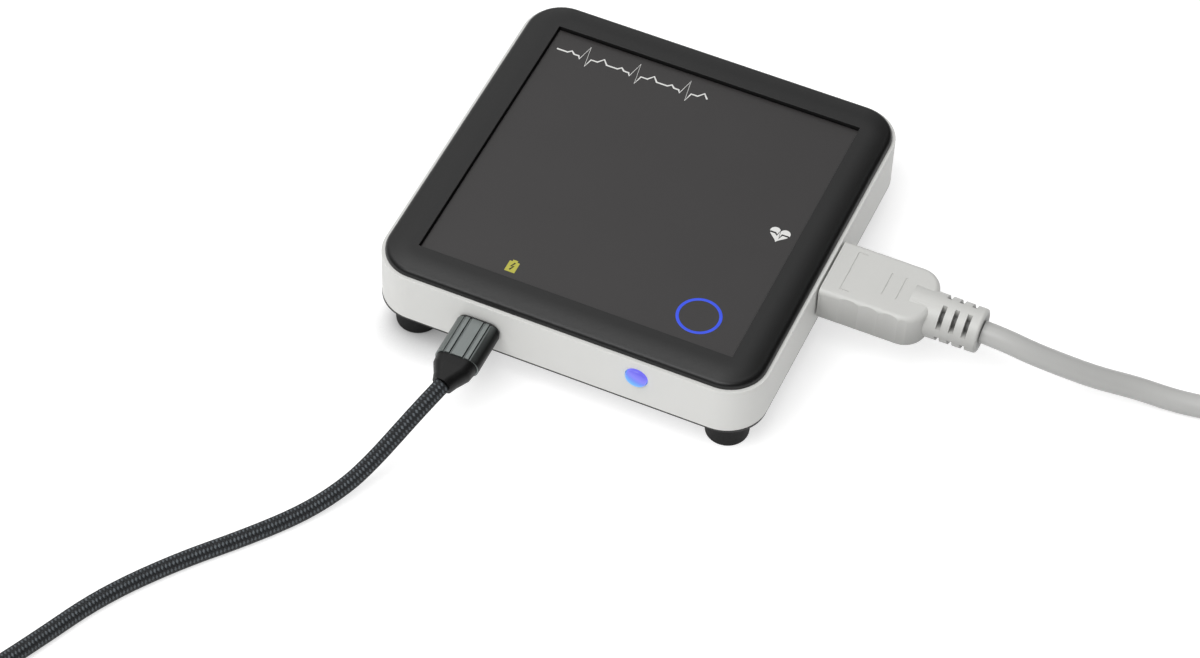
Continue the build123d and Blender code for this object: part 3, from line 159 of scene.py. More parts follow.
# the dark contact shadow lies round the left front foot only, as photographed
shadow_middle = (-40 * MM, -53 * MM, 0)
shadow_near, shadow_far = 9 * MM, 24 * MM
shadow_reach = 14 * MM
bpy.ops.mesh.primitive_plane_add(size=8)
floor = bpy.context.object
floor.name = "studio_floor"
paper = bpy.data.materials.new("matt_white_paper")
paper.use_nodes = True
tree = paper.node_tree
ray, mirror = sort_rays(tree)
watched = add_node(tree, "Math", {0: (ray, "Is Camera Ray"), 1: (mirror, 0)}, operation="MAXIMUM")
place = add_node(tree, "TexCoord")
off_middle = add_node(
    tree, "VectorMath", {0: (place, "Object"), 1: shadow_middle}, operation="DISTANCE"
)
clear = add_node(
    tree, "MapRange", {0: (off_middle, 1), 1: shadow_near, 2: shadow_far},
    interpolation_type="SMOOTHSTEP",
)
openness = add_node(tree, "AmbientOcclusion", {"Distance": shadow_reach})
lightness = add_node(tree, "Mix", {0: (openness, "AO"), 2: (clear, 0), 3: 1.0}, data_type="FLOAT")
glow_share = add_node(tree, "Math", {0: (lightness, 0), 1: floor_glow}, operation="MULTIPLY")
glow_level = add_node(tree, "Math", {0: (watched, 0), 1: (glow_share, 0)}, operation="MULTIPLY")
tone = add_node(tree, "VectorMath", {0: floor_matt, "Scale": (lightness, 0)}, operation="SCALE")
glow = add_node(tree, "Emission", {"Color": paper_white, "Strength": (glow_level, 0)})
matt = add_node(tree, "BsdfDiffuse", {"Color": (tone, 0)})
both = add_node(tree, "AddShader", {0: (glow, 0), 1: (matt, 0)})
add_node(tree, "OutputMaterial", {"Surface": (both, 0)})
floor.data.materials.append(paper)

bpy.ops.object.light_add(type="AREA", location=(-0.2, -0.75, 1.35))
lamp = bpy.context.object
lamp.name = "soft_lamp"
lamp.data.size = 1.0
lamp.data.energy = 15.0
lamp.rotation_euler = (-lamp.location).to_track_quat("-Z", "Y").to_euler()


# Base plate: a black ABS moulding with board posts, whose lip shows as a dark line below the
# white wall. It is injection moulded, with the fine spark-eroded grain of its tool.
def start_material(name):
    """A new material with its Principled shader, its output and its coordinates"""
    material = bpy.data.materials.new(name)
    material.use_nodes = True
    tree = material.node_tree
    tree.nodes.clear()
    shader = add_node(tree, "BsdfPrincipled")
    add_node(tree, "OutputMaterial", {"Surface": (shader, "BSDF")})
    return material, tree, shader, add_node(tree, "TexCoord")


# a noise pattern lies between these shares nearly everywhere
noise_low, noise_high = 0.3, 0.7


def moulded(name, dark, light, roughness, grain_mm, grain_depth, ior=1.5):
    """Moulded plastic or rubber: its tone drifts slowly, and its gloss with the tool's grain"""
    drift_mm = 22
    gloss_change = 0.05
    material, tree, shader, place = start_material(name)
    drift = add_node(
        tree, "TexNoise", {"Vector": (place, "Object"), "Scale": 1 / (drift_mm * MM), "Detail": 2.0}
    )
    grain = add_node(
        tree, "TexNoise", {"Vector": (place, "Object"), "Scale": 1 / (grain_mm * MM), "Detail": 4.0}
    )
    tone = add_node(
        tree, "Mix", {0: (drift, "Fac"), 6: linear(dark), 7: linear(light)}, data_type="RGBA"
    )
    sheen = add_node(
        tree, "MapRange",
        {0: (grain, "Fac"), 1: noise_low, 2: noise_high, 3: roughness - gloss_change,
         4: roughness + gloss_change},
    )
    relief = add_node(
        tree, "Bump", {"Height": (grain, "Fac"), "Distance": grain_depth * MM, "Strength": 0.6}
    )
    set_inputs(shader, {
        "Base Color": (tone, 2), "Roughness": (sheen, 0), "Normal": (relief, 0), "IOR": ior,
    })
    return material


nodes = frame["nodes"]


def dress(material, *pieces):
    """Gives pieces, or CAD nodes by their names, one material all over"""
    for piece in pieces:
        piece = nodes[piece] if isinstance(piece, str) else piece
        if not piece.material_slots:
            piece.data.materials.append(material)
        for slot in piece.material_slots:
            slot.link = "OBJECT"
            slot.material = material


def fit(piece, material, slot, body, *stood_for):
    """Dresses a new piece, hides the CAD nodes it stands for and sets it on its body"""
    dress(material, piece)
    if stood_for:
        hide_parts(*stood_for)
    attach(piece, body)


def only(piece):
    """Makes a piece the only selected object, and the active one"""
    bpy.ops.object.select_all(action="DESELECT")
    piece.select_set(True)
    bpy.context.view_layer.objects.active = piece


def pick(piece, kind, wanted):
    """Opens a piece in edit mode with just the wanted faces or edges selected"""
    only(piece)
    bpy.ops.object.mode_set(mode="EDIT")
    bpy.ops.mesh.select_mode(type=kind)
    bpy.ops.mesh.select_all(action="DESELECT")
    bpy.ops.object.mode_set(mode="OBJECT")
    points = piece.data.vertices
    if kind == "FACE":
        for face in piece.data.polygons:
            face.select = wanted(face.center, face.normal)
    else:
        for edge in piece.data.edges:
            edge.select = wanted(*(points[index].co for index in edge.vertices))
    bpy.ops.object.mode_set(mode="EDIT")


def close_edit():
    """Goes back to object mode"""
    bpy.ops.object.mode_set(mode="OBJECT")


def apply_modifier(piece, kind, **settings):
    """Adds a modifier with its settings and applies it"""
    modifier = piece.modifiers.new(kind.lower(), kind)
    for name, value in settings.items():
        setattr(modifier, name, value)
    only(piece)
    bpy.ops.object.modifier_apply(modifier=modifier.name)


def soften(piece, width, steps=2, angle=35):
    """Rounds the sharp edges by a width in millimetres and shades the faces smooth"""
    if width:
        apply_modifier(
            piece, "BEVEL", width=width * MM, segments=steps, limit_method="ANGLE",
            angle_limit=radians(angle),
        )
    only(piece)
    bpy.ops.object.shade_smooth_by_angle(angle=radians(angle))
    apply_modifier(piece, "WEIGHTED_NORMAL", keep_sharp=True)
    return piece


def merged_copy(node, name):
    """A copy of a CAD node for finishing, its loose triangles merged into flat faces"""
    piece = nodes[node].copy()
    piece.data = nodes[node].data.copy()
    piece.parent = None
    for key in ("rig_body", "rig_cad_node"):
        if key in piece:
            del piece[key]
    bpy.context.collection.objects.link(piece)
    piece.name = piece.data.name = name
    only(piece)
    bpy.ops.object.mode_set(mode="EDIT")
    bpy.ops.mesh.select_all(action="SELECT")
    bpy.ops.mesh.remove_doubles(threshold=0.001 * MM)
    bpy.ops.mesh.dissolve_limited(angle_limit=radians(0.5))
    close_edit()
    return piece


# black ABS: nearly black, so its grey comes from the white room in its satin surface
black_abs = moulded("black_abs_satin", "#0a0a0a", "#0e0e0e", 0.42, 0.35, 0.012, 1.45)
# a face looks along an axis, and an edge runs along it, from these shares of its direction
looks_along = 0.9
runs_along = 0.99
# cutters and searches reach past a surface by this many millimetres
past = 1.0
plate_half = 54.2
plate_lip = 54.88
z_plate = 10.0
z_shell = 11.0
plate = merged_copy("base_plate", "black_base_plate")
pick(
    plate, "FACE",
    lambda centre, normal: abs(normal.z) < looks_along and z_plate * MM < centre.z < z_shell * MM
    and centre.xy.length > (plate_half - past) * MM,
)
widen = plate_lip / plate_half
bpy.ops.transform.resize(value=(widen, widen, 1), center_override=(0, 0, 0))
close_edit()
soften(plate, 0)
fit(plate, black_abs, "black_abs", "housing", "base_plate")


# Feet: four tall rubber bumpers, tapered to the table and counterbored for washer and screw.
# They are compression moulded, all alike, and a long case screw goes up through each.
def settle(piece, name):
    """Names a new piece and puts its place, turn and size into its mesh"""
    piece.name = piece.data.name = name
    only(piece)
    bpy.ops.object.transform_apply(location=True, rotation=True, scale=True)
    return piece


def rod(name, start, radius, length, axis, far_radius=None, sides=48):
    """Round bar or cone in millimetres, from its start along one axis"""
    way = Vector([1.0 if index == axis else 0.0 for index in range(3)])
    turn = ((0, pi / 2, 0), (-pi / 2, 0, 0), (0, 0, 0))[axis]
    bpy.ops.object.select_all(action="DESELECT")
    bpy.ops.mesh.primitive_cone_add(
        vertices=sides, radius1=radius * MM, radius2=(far_radius or radius) * MM,
        depth=length * MM, location=(Vector(start) + way * length / 2) * MM, rotation=turn,
    )
    return settle(bpy.context.object, name)


def inset(thickness, depth=0.0):
    """Draws the selected faces in, and out along their normals, by millimetres"""
    bpy.ops.mesh.inset(thickness=thickness * MM, depth=depth * MM)


def extrude(x, y, z):
    """Extrudes the selected faces by millimetres"""
    bpy.ops.mesh.extrude_region_move(TRANSFORM_OT_translate={"value": (x * MM, y * MM, z * MM)})


# the axes, by their places in a vector
X, Y, Z = range(3)
# places nearer than this are one place
near = 0.1 * MM
foot_inset = 45.0
foot_height = 10.0
foot_low, foot_high = 5.9, 6.5
foot_edge = 0.5
bore_wide = 3.5
bore_depth = 4.0
bore_narrow = 1.7
# rubber: dull black, with a deeper and coarser grain than the plastics
foot_rubber = moulded("black_rubber_moulded", "#090909", "#0e0e0e", 0.75, 0.5, 0.03, 1.4)
for side, x in (("left", -foot_inset), ("right", foot_inset)):
    for end, y in (("front", -foot_inset), ("rear", foot_inset)):
        foot = rod(f"bumper_{end}_{side}", (x, y, 0), foot_low, foot_height, Z, foot_high)
        pick(foot, "FACE", lambda centre, normal: normal.z < -looks_along)
        inset(foot_low - bore_wide)
        extrude(0, 0, bore_depth)
        inset(bore_wide - bore_narrow)
        close_edit()
        pick(foot, "FACE", lambda centre, normal: normal.z > looks_along)
        inset(foot_high - bore_narrow)
        close_edit()
        pick(
            foot, "FACE",
            lambda centre, normal: abs(normal.z) > looks_along
            and (centre.xy - Vector((x, y)) * MM).length < near,
        )
        bpy.ops.mesh.bridge_edge_loops()
        close_edit()
        soften(foot, foot_edge, steps=3)
        fit(foot, foot_rubber, "foot_rubber", "housing", f"foot_{end}_{side}")


# Case hardware: zinc-plated washers and long pan-head screws, up through feet and base plate.
# The machined look comes from fine turning marks and the bluish white of the plating.
def plated(name, tone, roughness, mark_mm):
    """Plated or drawn metal: fine marks change its gloss and its surface"""
    gloss_change = 0.08
    material, tree, shader, place = start_material(name)
    marks = add_node(
        tree, "TexNoise", {"Vector": (place, "Object"), "Scale": 1 / (mark_mm * MM), "Detail": 5.0}
    )
    sheen = add_node(
        tree, "MapRange",
        {0: (marks, "Fac"), 1: noise_low, 2: noise_high, 3: roughness - gloss_change,
         4: roughness + gloss_change},
    )
    relief = add_node(
        tree, "Bump", {"Height": (marks, "Fac"), "Distance": 0.004 * MM, "Strength": 0.5}
    )
    set_inputs(shader, {
        "Base Color": linear(tone), "Metallic": 1.0, "Roughness": (sheen, 0),
        "Normal": (relief, 0),
    })
    return material


# zinc plating: cool pale grey; tinned steel: warmer and smoother; brass: yellow
zinc_steel = plated("zinc_plated_steel", "#b9bdc2", 0.34, 0.4)
tinned_steel = plated("tinned_steel", "#c4c3bf", 0.28, 0.8)
contact_brass = plated("gold_flashed_brass", "#c8a04a", 0.25, 0.4)
dress(zinc_steel, "foot_washers", "case_screws", "board_screws")


# Main board and what stands on it: laminate, sockets, switch, lamps, chips, cans and wells.
# All stand on the board and none shows from outside, so they keep the model's shapes.
def laminate(name):
    """Glass-fibre laminate: green lacquer over a faint weave, with paler copper runs below"""
    run_mm, weave_mm = 9, 2
    material, tree, shader, place = start_material(name)
    runs = add_node(
        tree, "TexBrick",
        {"Vector": (place, "Object"), "Scale": 1 / (run_mm * MM), "Mortar Size": 0.03, "Bias": 0.0,
         "Color1": linear("#12472c"), "Color2": linear("#0f3f27"), "Mortar": linear("#2b7a4b")},
    )
    weave = add_node(
        tree, "TexWave",
        {"Vector": (place, "Object"), "Scale": 1 / (weave_mm * MM), "Distortion": 0.4},
    )
    relief = add_node(
        tree, "Bump", {"Height": (weave, "Fac"), "Distance": 0.01 * MM, "Strength": 0.4}
    )
    set_inputs(shader, {
        "Base Color": (runs, "Color"), "Normal": (relief, 0), "Roughness": 0.35,
    })
    return material


def glowing(name, tone, glow, strength):
    """Lamp or lit print: its own colour plus light, a little uneven over its face"""
    patch_mm = 2.5
    unevenness = 0.06
    material, tree, shader, place = start_material(name)
    spread = add_node(
        tree, "TexNoise", {"Vector": (place, "Object"), "Scale": 1 / (patch_mm * MM), "Detail": 2.0}
    )
    level = add_node(
        tree, "MapRange",
        {0: (spread, "Fac"), 1: noise_low, 2: noise_high, 3: strength * (1 - unevenness),
         4: strength * (1 + unevenness)},
    )
    set_inputs(shader, {
        "Base Color": linear(tone), "Emission Color": linear(glow),
        "Emission Strength": (level, 0), "Roughness": 0.4,
    })
    return material


# nylon and chip epoxy are satin with a fine grain, and die-cut foam is matt and coarse
black_nylon = moulded("black_nylon_moulded", "#101012", "#17171a", 0.5, 0.4, 0.015)
white_nylon = moulded("white_nylon_moulded", "#d9d7cf", "#e6e4dc", 0.45, 0.4, 0.015)
chip_epoxy = moulded("chip_epoxy_moulded", "#141417", "#1b1b1f", 0.55, 0.2, 0.01)
grey_foam = moulded("grey_foam_die_cut", "#3b3b3d", "#4a4a4c", 0.95, 0.6, 0.15)
dress(laminate("green_glass_laminate"), "main_board")
dress(tinned_steel, "usb_socket", "lead_socket", "shield_can")
dress(black_nylon, "usb_socket_tongue", "lead_socket_tongue", "lead_socket_foot", "power_switch")
dress(chip_epoxy, "amplifier_chips", "processor_chip", "radio_module")
dress(white_nylon, "light_wells", "battery_connector")
dress(glowing("blue_lamp_epoxy", "#d8dcf0", "#4a66ff", 1.2), "button_lamp")
dress(glowing("white_lamp_epoxy", "#e8e6c8", "#fff4e0", 1.2), "symbol_lamps")


# Battery: a lithium pouch in crinkled foil on a foam pad, with two wires to its connector.
# The pouch is heat sealed, so its foil is puckered along the edges.
def foil(name):
    """Pouch foil: bright, wrinkled at two sizes"""
    material, tree, shader, place = start_material(name)
    wide, fine = [
        add_node(
            tree, "TexNoise",
            {"Vector": (place, "Object"), "Scale": 1 / (size_mm * MM), "Detail": detail},
        )
        for size_mm, detail in ((6, 3.0), (1.2, 4.0))
    ]
    crinkle = add_node(tree, "Math", {0: (wide, "Fac"), 1: (fine, "Fac")}, operation="ADD")
    relief = add_node(
        tree, "Bump", {"Height": (crinkle, 0), "Distance": 0.12 * MM, "Strength": 0.6}
    )
    set_inputs(shader, {
        "Base Color": linear("#a9adb0"), "Metallic": 0.9, "Roughness": 0.32,
        "Normal": (relief, 0),
    })
    return material


dress(foil("aluminium_pouch_foil"), "battery_pack")
foam_edge = 0.2
foam_pad = soften(merged_copy("battery_pad", "battery_foam_pad"), foam_edge)
fit(foam_pad, grey_foam, "foam_tape", "housing", "battery_pad")
# silicone insulation: red, with a soft sheen
dress(moulded("red_wire_silicone", "#8e1a17", "#a3211d", 0.4, 0.5, 0.02), "battery_wires")


# Side shell: the white ABS ring that is the box's wall, moulded with cut-outs for the USB
# socket, the button and the trunk socket. Its upper and lower rims are lightly rounded.
def round_edges(piece, wanted, radius, steps):
    """Rounds just the wanted edges by a radius in millimetres"""
    pick(piece, "EDGE", wanted)
    bpy.ops.mesh.bevel(offset=radius * MM, segments=steps, affect="EDGES")
    close_edit()


def block(name, low, high, along=None, radius=0.0, steps=12):
    """Block between two corners in millimetres, its edges along one axis rounded"""
    low = Vector(low) * MM
    high = Vector(high) * MM
    bpy.ops.object.select_all(action="DESELECT")
    bpy.ops.mesh.primitive_cube_add(size=1, location=(low + high) / 2)
    bpy.context.object.scale = high - low
    piece = settle(bpy.context.object, name)
    if radius:
        round_edges(
            piece, lambda a, b: abs((b - a).normalized()[along]) > runs_along, radius, steps
        )
    return piece


def hollow(piece, axis, thickness):
    """Opens a block at its ends along an axis and leaves a wall of that thickness"""
    pick(piece, "FACE", lambda centre, normal: abs(normal[axis]) > looks_along)
    bpy.ops.mesh.delete(type="FACE")
    close_edit()
    apply_modifier(piece, "SOLIDIFY", thickness=thickness * MM, offset=-1, use_even_offset=True)


def combine(piece, tool, operation="DIFFERENCE"):
    """Cuts a tool out of a piece, or joins it on, and removes the tool"""
    apply_modifier(piece, "BOOLEAN", object=tool, operation=operation)
    bpy.data.objects.remove(tool)


def shaded(material, measure, ends, shares):
    """Paints shade into a material: scales its base colour by a measure in its own tree, such as a
    height
    """
    tree = material.node_tree
    shader = next(node for node in tree.nodes if node.type == "BSDF_PRINCIPLED")
    colour = shader.inputs["Base Color"]
    share = add_node(
        tree, "MapRange", {0: measure, 1: ends[0], 2: ends[1], 3: shares[0], 4: shares[1]}
    )
    scaled = add_node(
        tree, "VectorMath", {0: colour.default_value[:3], "Scale": (share, 0)}, operation="SCALE"
    )
    if colour.is_linked:
        tree.links.new(colour.links[0].from_socket, scaled.inputs[0])
    set_inputs(shader, {"Base Color": (scaled, 0)})
    return material


def facing(material):
    """The way that a face looks, split into its three axes"""
    surface = add_node(material.node_tree, "NewGeometry")
    return add_node(material.node_tree, "SeparateXYZ", {"Vector": (surface, "Normal")})


half_box = 55.0
z_seam = 26.5
wall = 2.2
corner_radius = 11.5
corner_steps = 14
shell_edge = 0.15
usb_x, usb_z = -22.1, 18.6
lead_y, lead_z = -1.5, 20.2
button_x, button_z = 22.6, 20.6
usb_mouth_width, usb_mouth_height = 9.54, 3.86
usb_mouth_flat = 0.02
lead_mouth_width, lead_mouth_height = 15.6, 6.1
lead_mouth_cut = 0.42
button_hole = 3.2
shell = block(
    "white_side_shell", (-half_box, -half_box, z_shell), (half_box, half_box, z_seam),
    Z, corner_radius, corner_steps,
)
hollow(shell, Z, wall)
combine(shell, block(
    "usb_cutter",
    (usb_x - usb_mouth_width / 2, -half_box - past, usb_z - usb_mouth_height / 2),
    (usb_x + usb_mouth_width / 2, wall + past - half_box, usb_z + usb_mouth_height / 2),
    Y, (usb_mouth_height - usb_mouth_flat) / 2, steps=8,
))
combine(shell, rod(
    "button_cutter", (button_x, -half_box - past, button_z), button_hole, wall + 2 * past, Y
))
lead_cutter = block(
    "lead_cutter",
    (half_box - wall - past, lead_y - lead_mouth_width / 2, lead_z - lead_mouth_height / 2),
    (half_box + past, lead_y + lead_mouth_width / 2, lead_z + lead_mouth_height / 2),
)
# the trunk socket's mouth has both its lower corners cut away
round_edges(
    lead_cutter,
    lambda a, b: abs((b - a).normalized().x) > runs_along and a.z < (lead_z - past) * MM,
    lead_mouth_height * lead_mouth_cut, steps=1,
)
combine(shell, lead_cutter)
soften(shell, shell_edge)
# white ABS: warm white, satin, so it shades softly round the corners
white_abs = moulded("white_abs_satin", "#e4e4e1", "#e8e8e5", 0.45, 0.4, 0.01)
# painted shade: faces that look up, its narrow upper ledge under the cover most of all, are
# darkened
shaded(white_abs, (facing(white_abs), "Z"), (0.4, 1.0), (1.0, 0.86))
fit(shell, white_abs, "white_abs", "housing", "side_shell")


# Power button: a clear cap, domed at its end and held behind the wall by a flange. Its glow is
# painted light from the blue lamp beside the switch, brightest at the lower left. The plunger is
# nylon.
def lit_cap(name):
    """Clear blue plastic with painted lamp light: it glows violet above, sky blue below and to the
    left, where the lamp is
    """
    material, tree, shader, place = start_material(name)
    axes = add_node(tree, "SeparateXYZ", {"Vector": (place, "Object")})
    lean = 0.45
    reach = 3.3
    middle = button_x * lean + button_z
    rise = add_node(
        tree, "Math", {0: (axes, "X"), 1: lean, 2: (axes, "Z")}, operation="MULTIPLY_ADD"
    )
    share = add_node(
        tree, "MapRange", {0: (rise, 0), 1: (middle - reach) * MM, 2: (middle + reach) * MM}
    )
    ramp = add_node(tree, "ValToRGB", {"Fac": (share, 0)})
    stops = ramp.color_ramp.elements
    stops[0].position, stops[0].color = 0.26, linear("#52b0fc")
    stops[1].position, stops[1].color = 0.92, linear("#7a74f8")
    stops.new(0.5).color = linear("#6a8cfb")
    stops.new(0.68).color = linear("#8a86ff")
    set_inputs(shader, {
        "Base Color": linear("#1c2050"), "Emission Color": (ramp, "Color"),
        "Emission Strength": 0.85, "Roughness": 0.3,
    })
    return material


button_radius = 3.0
button_proud = 1.3
button_dome = 0.9
dome_sweep = radians(80)
dome_steps = 6
flange_radius = 3.5
flange_thickness = 0.8
cap = rod(
    "clear_blue_button", (button_x, button_dome - button_proud - half_box, button_z),
    button_radius, wall + button_proud - button_dome, Y,
)
pick(cap, "FACE", lambda centre, normal: normal.y < -looks_along)
for step in range(dome_steps):
    swept, next_swept = [dome_sweep * reached / dome_steps for reached in (step, step + 1)]
    inset(
        button_radius * (cos(swept) - cos(next_swept)), button_dome * (sin(next_swept) - sin(swept))
    )
close_edit()
pick(cap, "FACE", lambda centre, normal: normal.y > looks_along)
extrude(0, 0, 0)
widen = flange_radius / button_radius
bpy.ops.transform.resize(value=(widen, 1, widen), center_override=(button_x * MM, 0, button_z * MM))
extrude(0, flange_thickness, 0)
close_edit()
soften(cap, 0)
fit(cap, lit_cap("clear_blue_acrylic"), "clear_blue_cap", "button", "power_button")
dress(white_nylon, "switch_plunger")


# Top cover: the black ABS bezel, its flat crown falling to a rounded rim, with a square pocket
# for the window, a spigot that drops inside the shell and four bosses for the case screws.
cover_half = 54.0
cover_radius = 10.5
cover_edge = 0.12
z_top = 29.1
rim_round = 1.5
rim_steps = 6
crown_width = 6.8
crown_drop = 0.6
crown_steps = 8
cover = block(
    "black_top_cover", (-cover_half, -cover_half, z_seam),
    (cover_half, cover_half, z_top - crown_drop - rim_round), Z, cover_radius, corner_steps,
)
pick(cover, "FACE", lambda centre, normal: normal.z > looks_along)
for step in range(rim_steps):
    swept, next_swept = [reached * pi / 2 / rim_steps for reached in (step, step + 1)]
    inset(rim_round * (cos(swept) - cos(next_swept)), rim_round * (sin(next_swept) - sin(swept)))
for step in range(crown_steps):
    level, next_level = [1 - (1 - reached / crown_steps) ** 2 for reached in (step, step + 1)]
    inset((crown_width - rim_round) / crown_steps, crown_drop * (next_level - level))
close_edit()
spigot_half = 52.5
spigot_drop = 2.0
spigot_wall = 1.8
pick(cover, "FACE", lambda centre, normal: normal.z < -looks_along)
inset(cover_half - spigot_half)
extrude(0, 0, -spigot_drop)
close_edit()
pocket_half = 44.7
z_ledge = 26.5
z_ledge_under = 25.0
ledge_width = 1.8
hollow_half = spigot_half - spigot_wall
opening_half = pocket_half - ledge_width
combine(cover, block(
    "hollow_cutter", (-hollow_half, -hollow_half, z_seam - spigot_drop - past),
    (hollow_half, hollow_half, z_ledge_under), Z, corner_radius - wall - spigot_wall, steps=8,
))
combine(cover, block(
    "pocket_cutter", (-pocket_half, -pocket_half, z_ledge), (pocket_half, pocket_half, z_top + past)
))
combine(cover, block(
    "opening_cutter", (-opening_half, -opening_half, z_ledge_under - past),
    (opening_half, opening_half, z_ledge + past),
))
boss_radius = 3.5
boss_bore = 1.52
boss_low = 12.5
boss_root = 0.5
boss_high = z_ledge_under + boss_root
boss_bore_depth = 8.5
for x in (-foot_inset, foot_inset):
    for y in (-foot_inset, foot_inset):
        boss = rod("boss", (x, y, boss_low), boss_radius, boss_high - boss_low, Z, sides=24)
        combine(boss, rod(
            "bore_cutter", (x, y, boss_low - past), boss_bore, boss_bore_depth + past, Z, sides=16
        ))
        combine(cover, boss, "UNION")
soften(cover, cover_edge)
fit(cover, black_abs, "black_abs", "housing", "top_cover")


# Display window: a flat anti-glare sheet of smoked acrylic on a frame of adhesive tape, set
# down in the cover's pocket with a narrow dark gap all round.
window_half = 44.55
z_window = 26.7
z_panel = 27.9
window = block(
    "smoked_window", (-window_half, -window_half, z_window), (window_half, window_half, z_panel)
)
soften(window, cover_edge)
# smoked acrylic: warm black with a fine anti-glare etch that spreads the room's light
smoked_acrylic = moulded("smoked_acrylic_etched", "#242222", "#282626", 0.38, 0.3, 0.004)
fit(window, smoked_acrylic, "dark_acrylic", "housing", "display_window")
dress(grey_foam, "window_tape")


# Window print and lit symbols: a heart with a pulse and a charging battery, which are generic
# signs, a plain ring light and a plain pulse trace. Each is screen printed on the window.
def printed(name, middle, line, width=0.0, lift=0.0):
    """Print round a middle on the window: a line of one width, or a filled outline"""
    ink = bpy.data.curves.new(name, "CURVE")
    if width:
        ink.dimensions = "3D"
        ink.bevel_depth = width / 2 * MM
        ink.bevel_resolution = 2
        ink.use_fill_caps = True
    else:
        ink.dimensions = "2D"
        ink.fill_mode = "BOTH"
        ink.extrude = print_thickness / 2 * MM
    spline = ink.splines.new("POLY")
    spline.points.add(len(line) - 1)
    for point, (x, y) in zip(spline.points, line):
        point.co = ((x + middle[0]) * MM, (y + middle[1]) * MM, 0, 1)
    spline.use_cyclic_u = not width
    piece = bpy.data.objects.new(name, ink)
    bpy.context.collection.objects.link(piece)
    only(piece)
    bpy.ops.object.convert(target="MESH")
    if width:
        piece.scale.z = print_thickness / width
    piece.location.z = (z_panel + lift + print_thickness / 2) * MM
    return settle(piece, name)


def printed_ring(name, middle, radius, width):
    """Print round a middle on the window: a ring of one line"""
    bpy.ops.object.select_all(action="DESELECT")
    bpy.ops.mesh.primitive_torus_add(
        location=[place * MM for place in (*middle, z_panel + print_thickness / 2)],
        major_radius=radius * MM, minor_radius=width / 2 * MM,
        major_segments=96, minor_segments=10,
    )
    bpy.context.object.scale.z = print_thickness / width
    return settle(bpy.context.object, name)


print_thickness = 0.03
# the gaps in both signs are dark print over the lit print
over_print = print_thickness * 1.2
line_width = 0.55
bolt_width = 0.5
# the outline is a parametric heart curve that is 32 units wide
heart_middle = (39.3, 0.5)
heart_width = 5.7
heart_scale = heart_width / 32
heart_points = 64
heart_turns = [2 * pi * step / heart_points for step in range(heart_points)]
heart_outline = [
    (16 * sin(t) ** 3 * heart_scale,
     (13 * cos(t) - 5 * cos(2 * t) - 2 * cos(3 * t) - cos(4 * t)) * heart_scale)
    for t in heart_turns
]
heart_beat = [
    (-2.7, 0.1), (-1.1, 0.1), (-0.5, -0.5), (-0.1, 1.3), (0.4, -1.4), (0.8, 0.1), (2.7, 0.1),
]
battery_middle = (-19.8, -39.9)
battery_outline = [
    (-1.45, -2.1), (1.45, -2.1), (1.45, 1.55), (0.7, 1.55), (0.7, 2.15), (-0.7, 2.15),
    (-0.7, 1.55), (-1.45, 1.55),
]
battery_bolt = [(0.3, 1.2), (-0.4, -0.2), (0.4, 0.0), (-0.3, -1.4)]
ring_middle = (31.2, -34.7)
ring_radius = 5.7
ring_line = 0.84
trace_start = (-42.3, 37.6)
trace_beats = 3
beat_length = 15.0
beat = [
    (0, 0), (3.2, 0), (4.2, 0.9), (5.2, 0), (6.6, 0), (7.2, -1.0), (8.4, 4.4), (9.6, -3.0),
    (10.3, 0), (12.2, 0), (13.6, 1.7), (beat_length, 0),
]
trace_line = [(x + beat_length * turn, y) for turn in range(trace_beats) for x, y in beat]
# screen print: the lit inks glow softly from below, and the dark ink is matt over them
dark_print = moulded("dark_screen_print", "#161616", "#1c1c1c", 0.6, 0.3, 0.004)
lit_white = glowing("lit_white_print", "#bcbcba", "#e4e4e2", 0.3)
lit_yellow = glowing("lit_yellow_print", "#7c782c", "#bcb844", 0.5)
lit_blue = glowing("lit_blue_print", "#0c1650", "#2c50ee", 0.8)
for piece, material in (
    (printed("heart_symbol", heart_middle, heart_outline), lit_white),
    (printed("heart_pulse_gap", heart_middle, heart_beat, line_width, over_print), dark_print),
    (printed("battery_symbol", battery_middle, battery_outline), lit_yellow),
    (printed("battery_bolt_gap", battery_middle, battery_bolt, bolt_width, over_print), dark_print),
    (printed_ring("ring_light", ring_middle, ring_radius, ring_line), lit_blue),
    (printed("pulse_trace", trace_start, trace_line, line_width), lit_white),
):
    fit(piece, material, "dark_acrylic", "housing")


# USB plug: a steel shell in the socket, a black moulded core whose collar shows at the wall,
# a ribbed sleeve of grey anodised aluminium over it, and a black rubber strain relief.
def anodised(name, tone):
    """Anodised aluminium: satin metal, marked along the tube, with painted shade that darkens its
    right-facing flank nearly to black
    """
    mark_mm, mark_length_mm = 0.25, 6
    material, tree, shader, place = start_material(name)
    along = add_node(
        tree, "Mapping",
        {"Vector": (place, "Object"),
         "Scale": [1 / (size_mm * MM) for size_mm in (mark_mm, mark_length_mm, mark_mm)]},
    )
    marks = add_node(tree, "TexNoise", {"Vector": (along, 0), "Scale": 1.0, "Detail": 3.0})
    sheen = add_node(
        tree, "MapRange", {0: (marks, "Fac"), 1: noise_low, 2: noise_high, 3: 0.34, 4: 0.5}
    )
    set_inputs(shader, {
        "Base Color": linear(tone), "Metallic": 0.85, "Roughness": (sheen, 0),
    })
    # painted shade: faces that look to the right are darkened nearly to black
    return shaded(material, (facing(material), "X"), (0.2, 0.8), (1.0, 0.02))


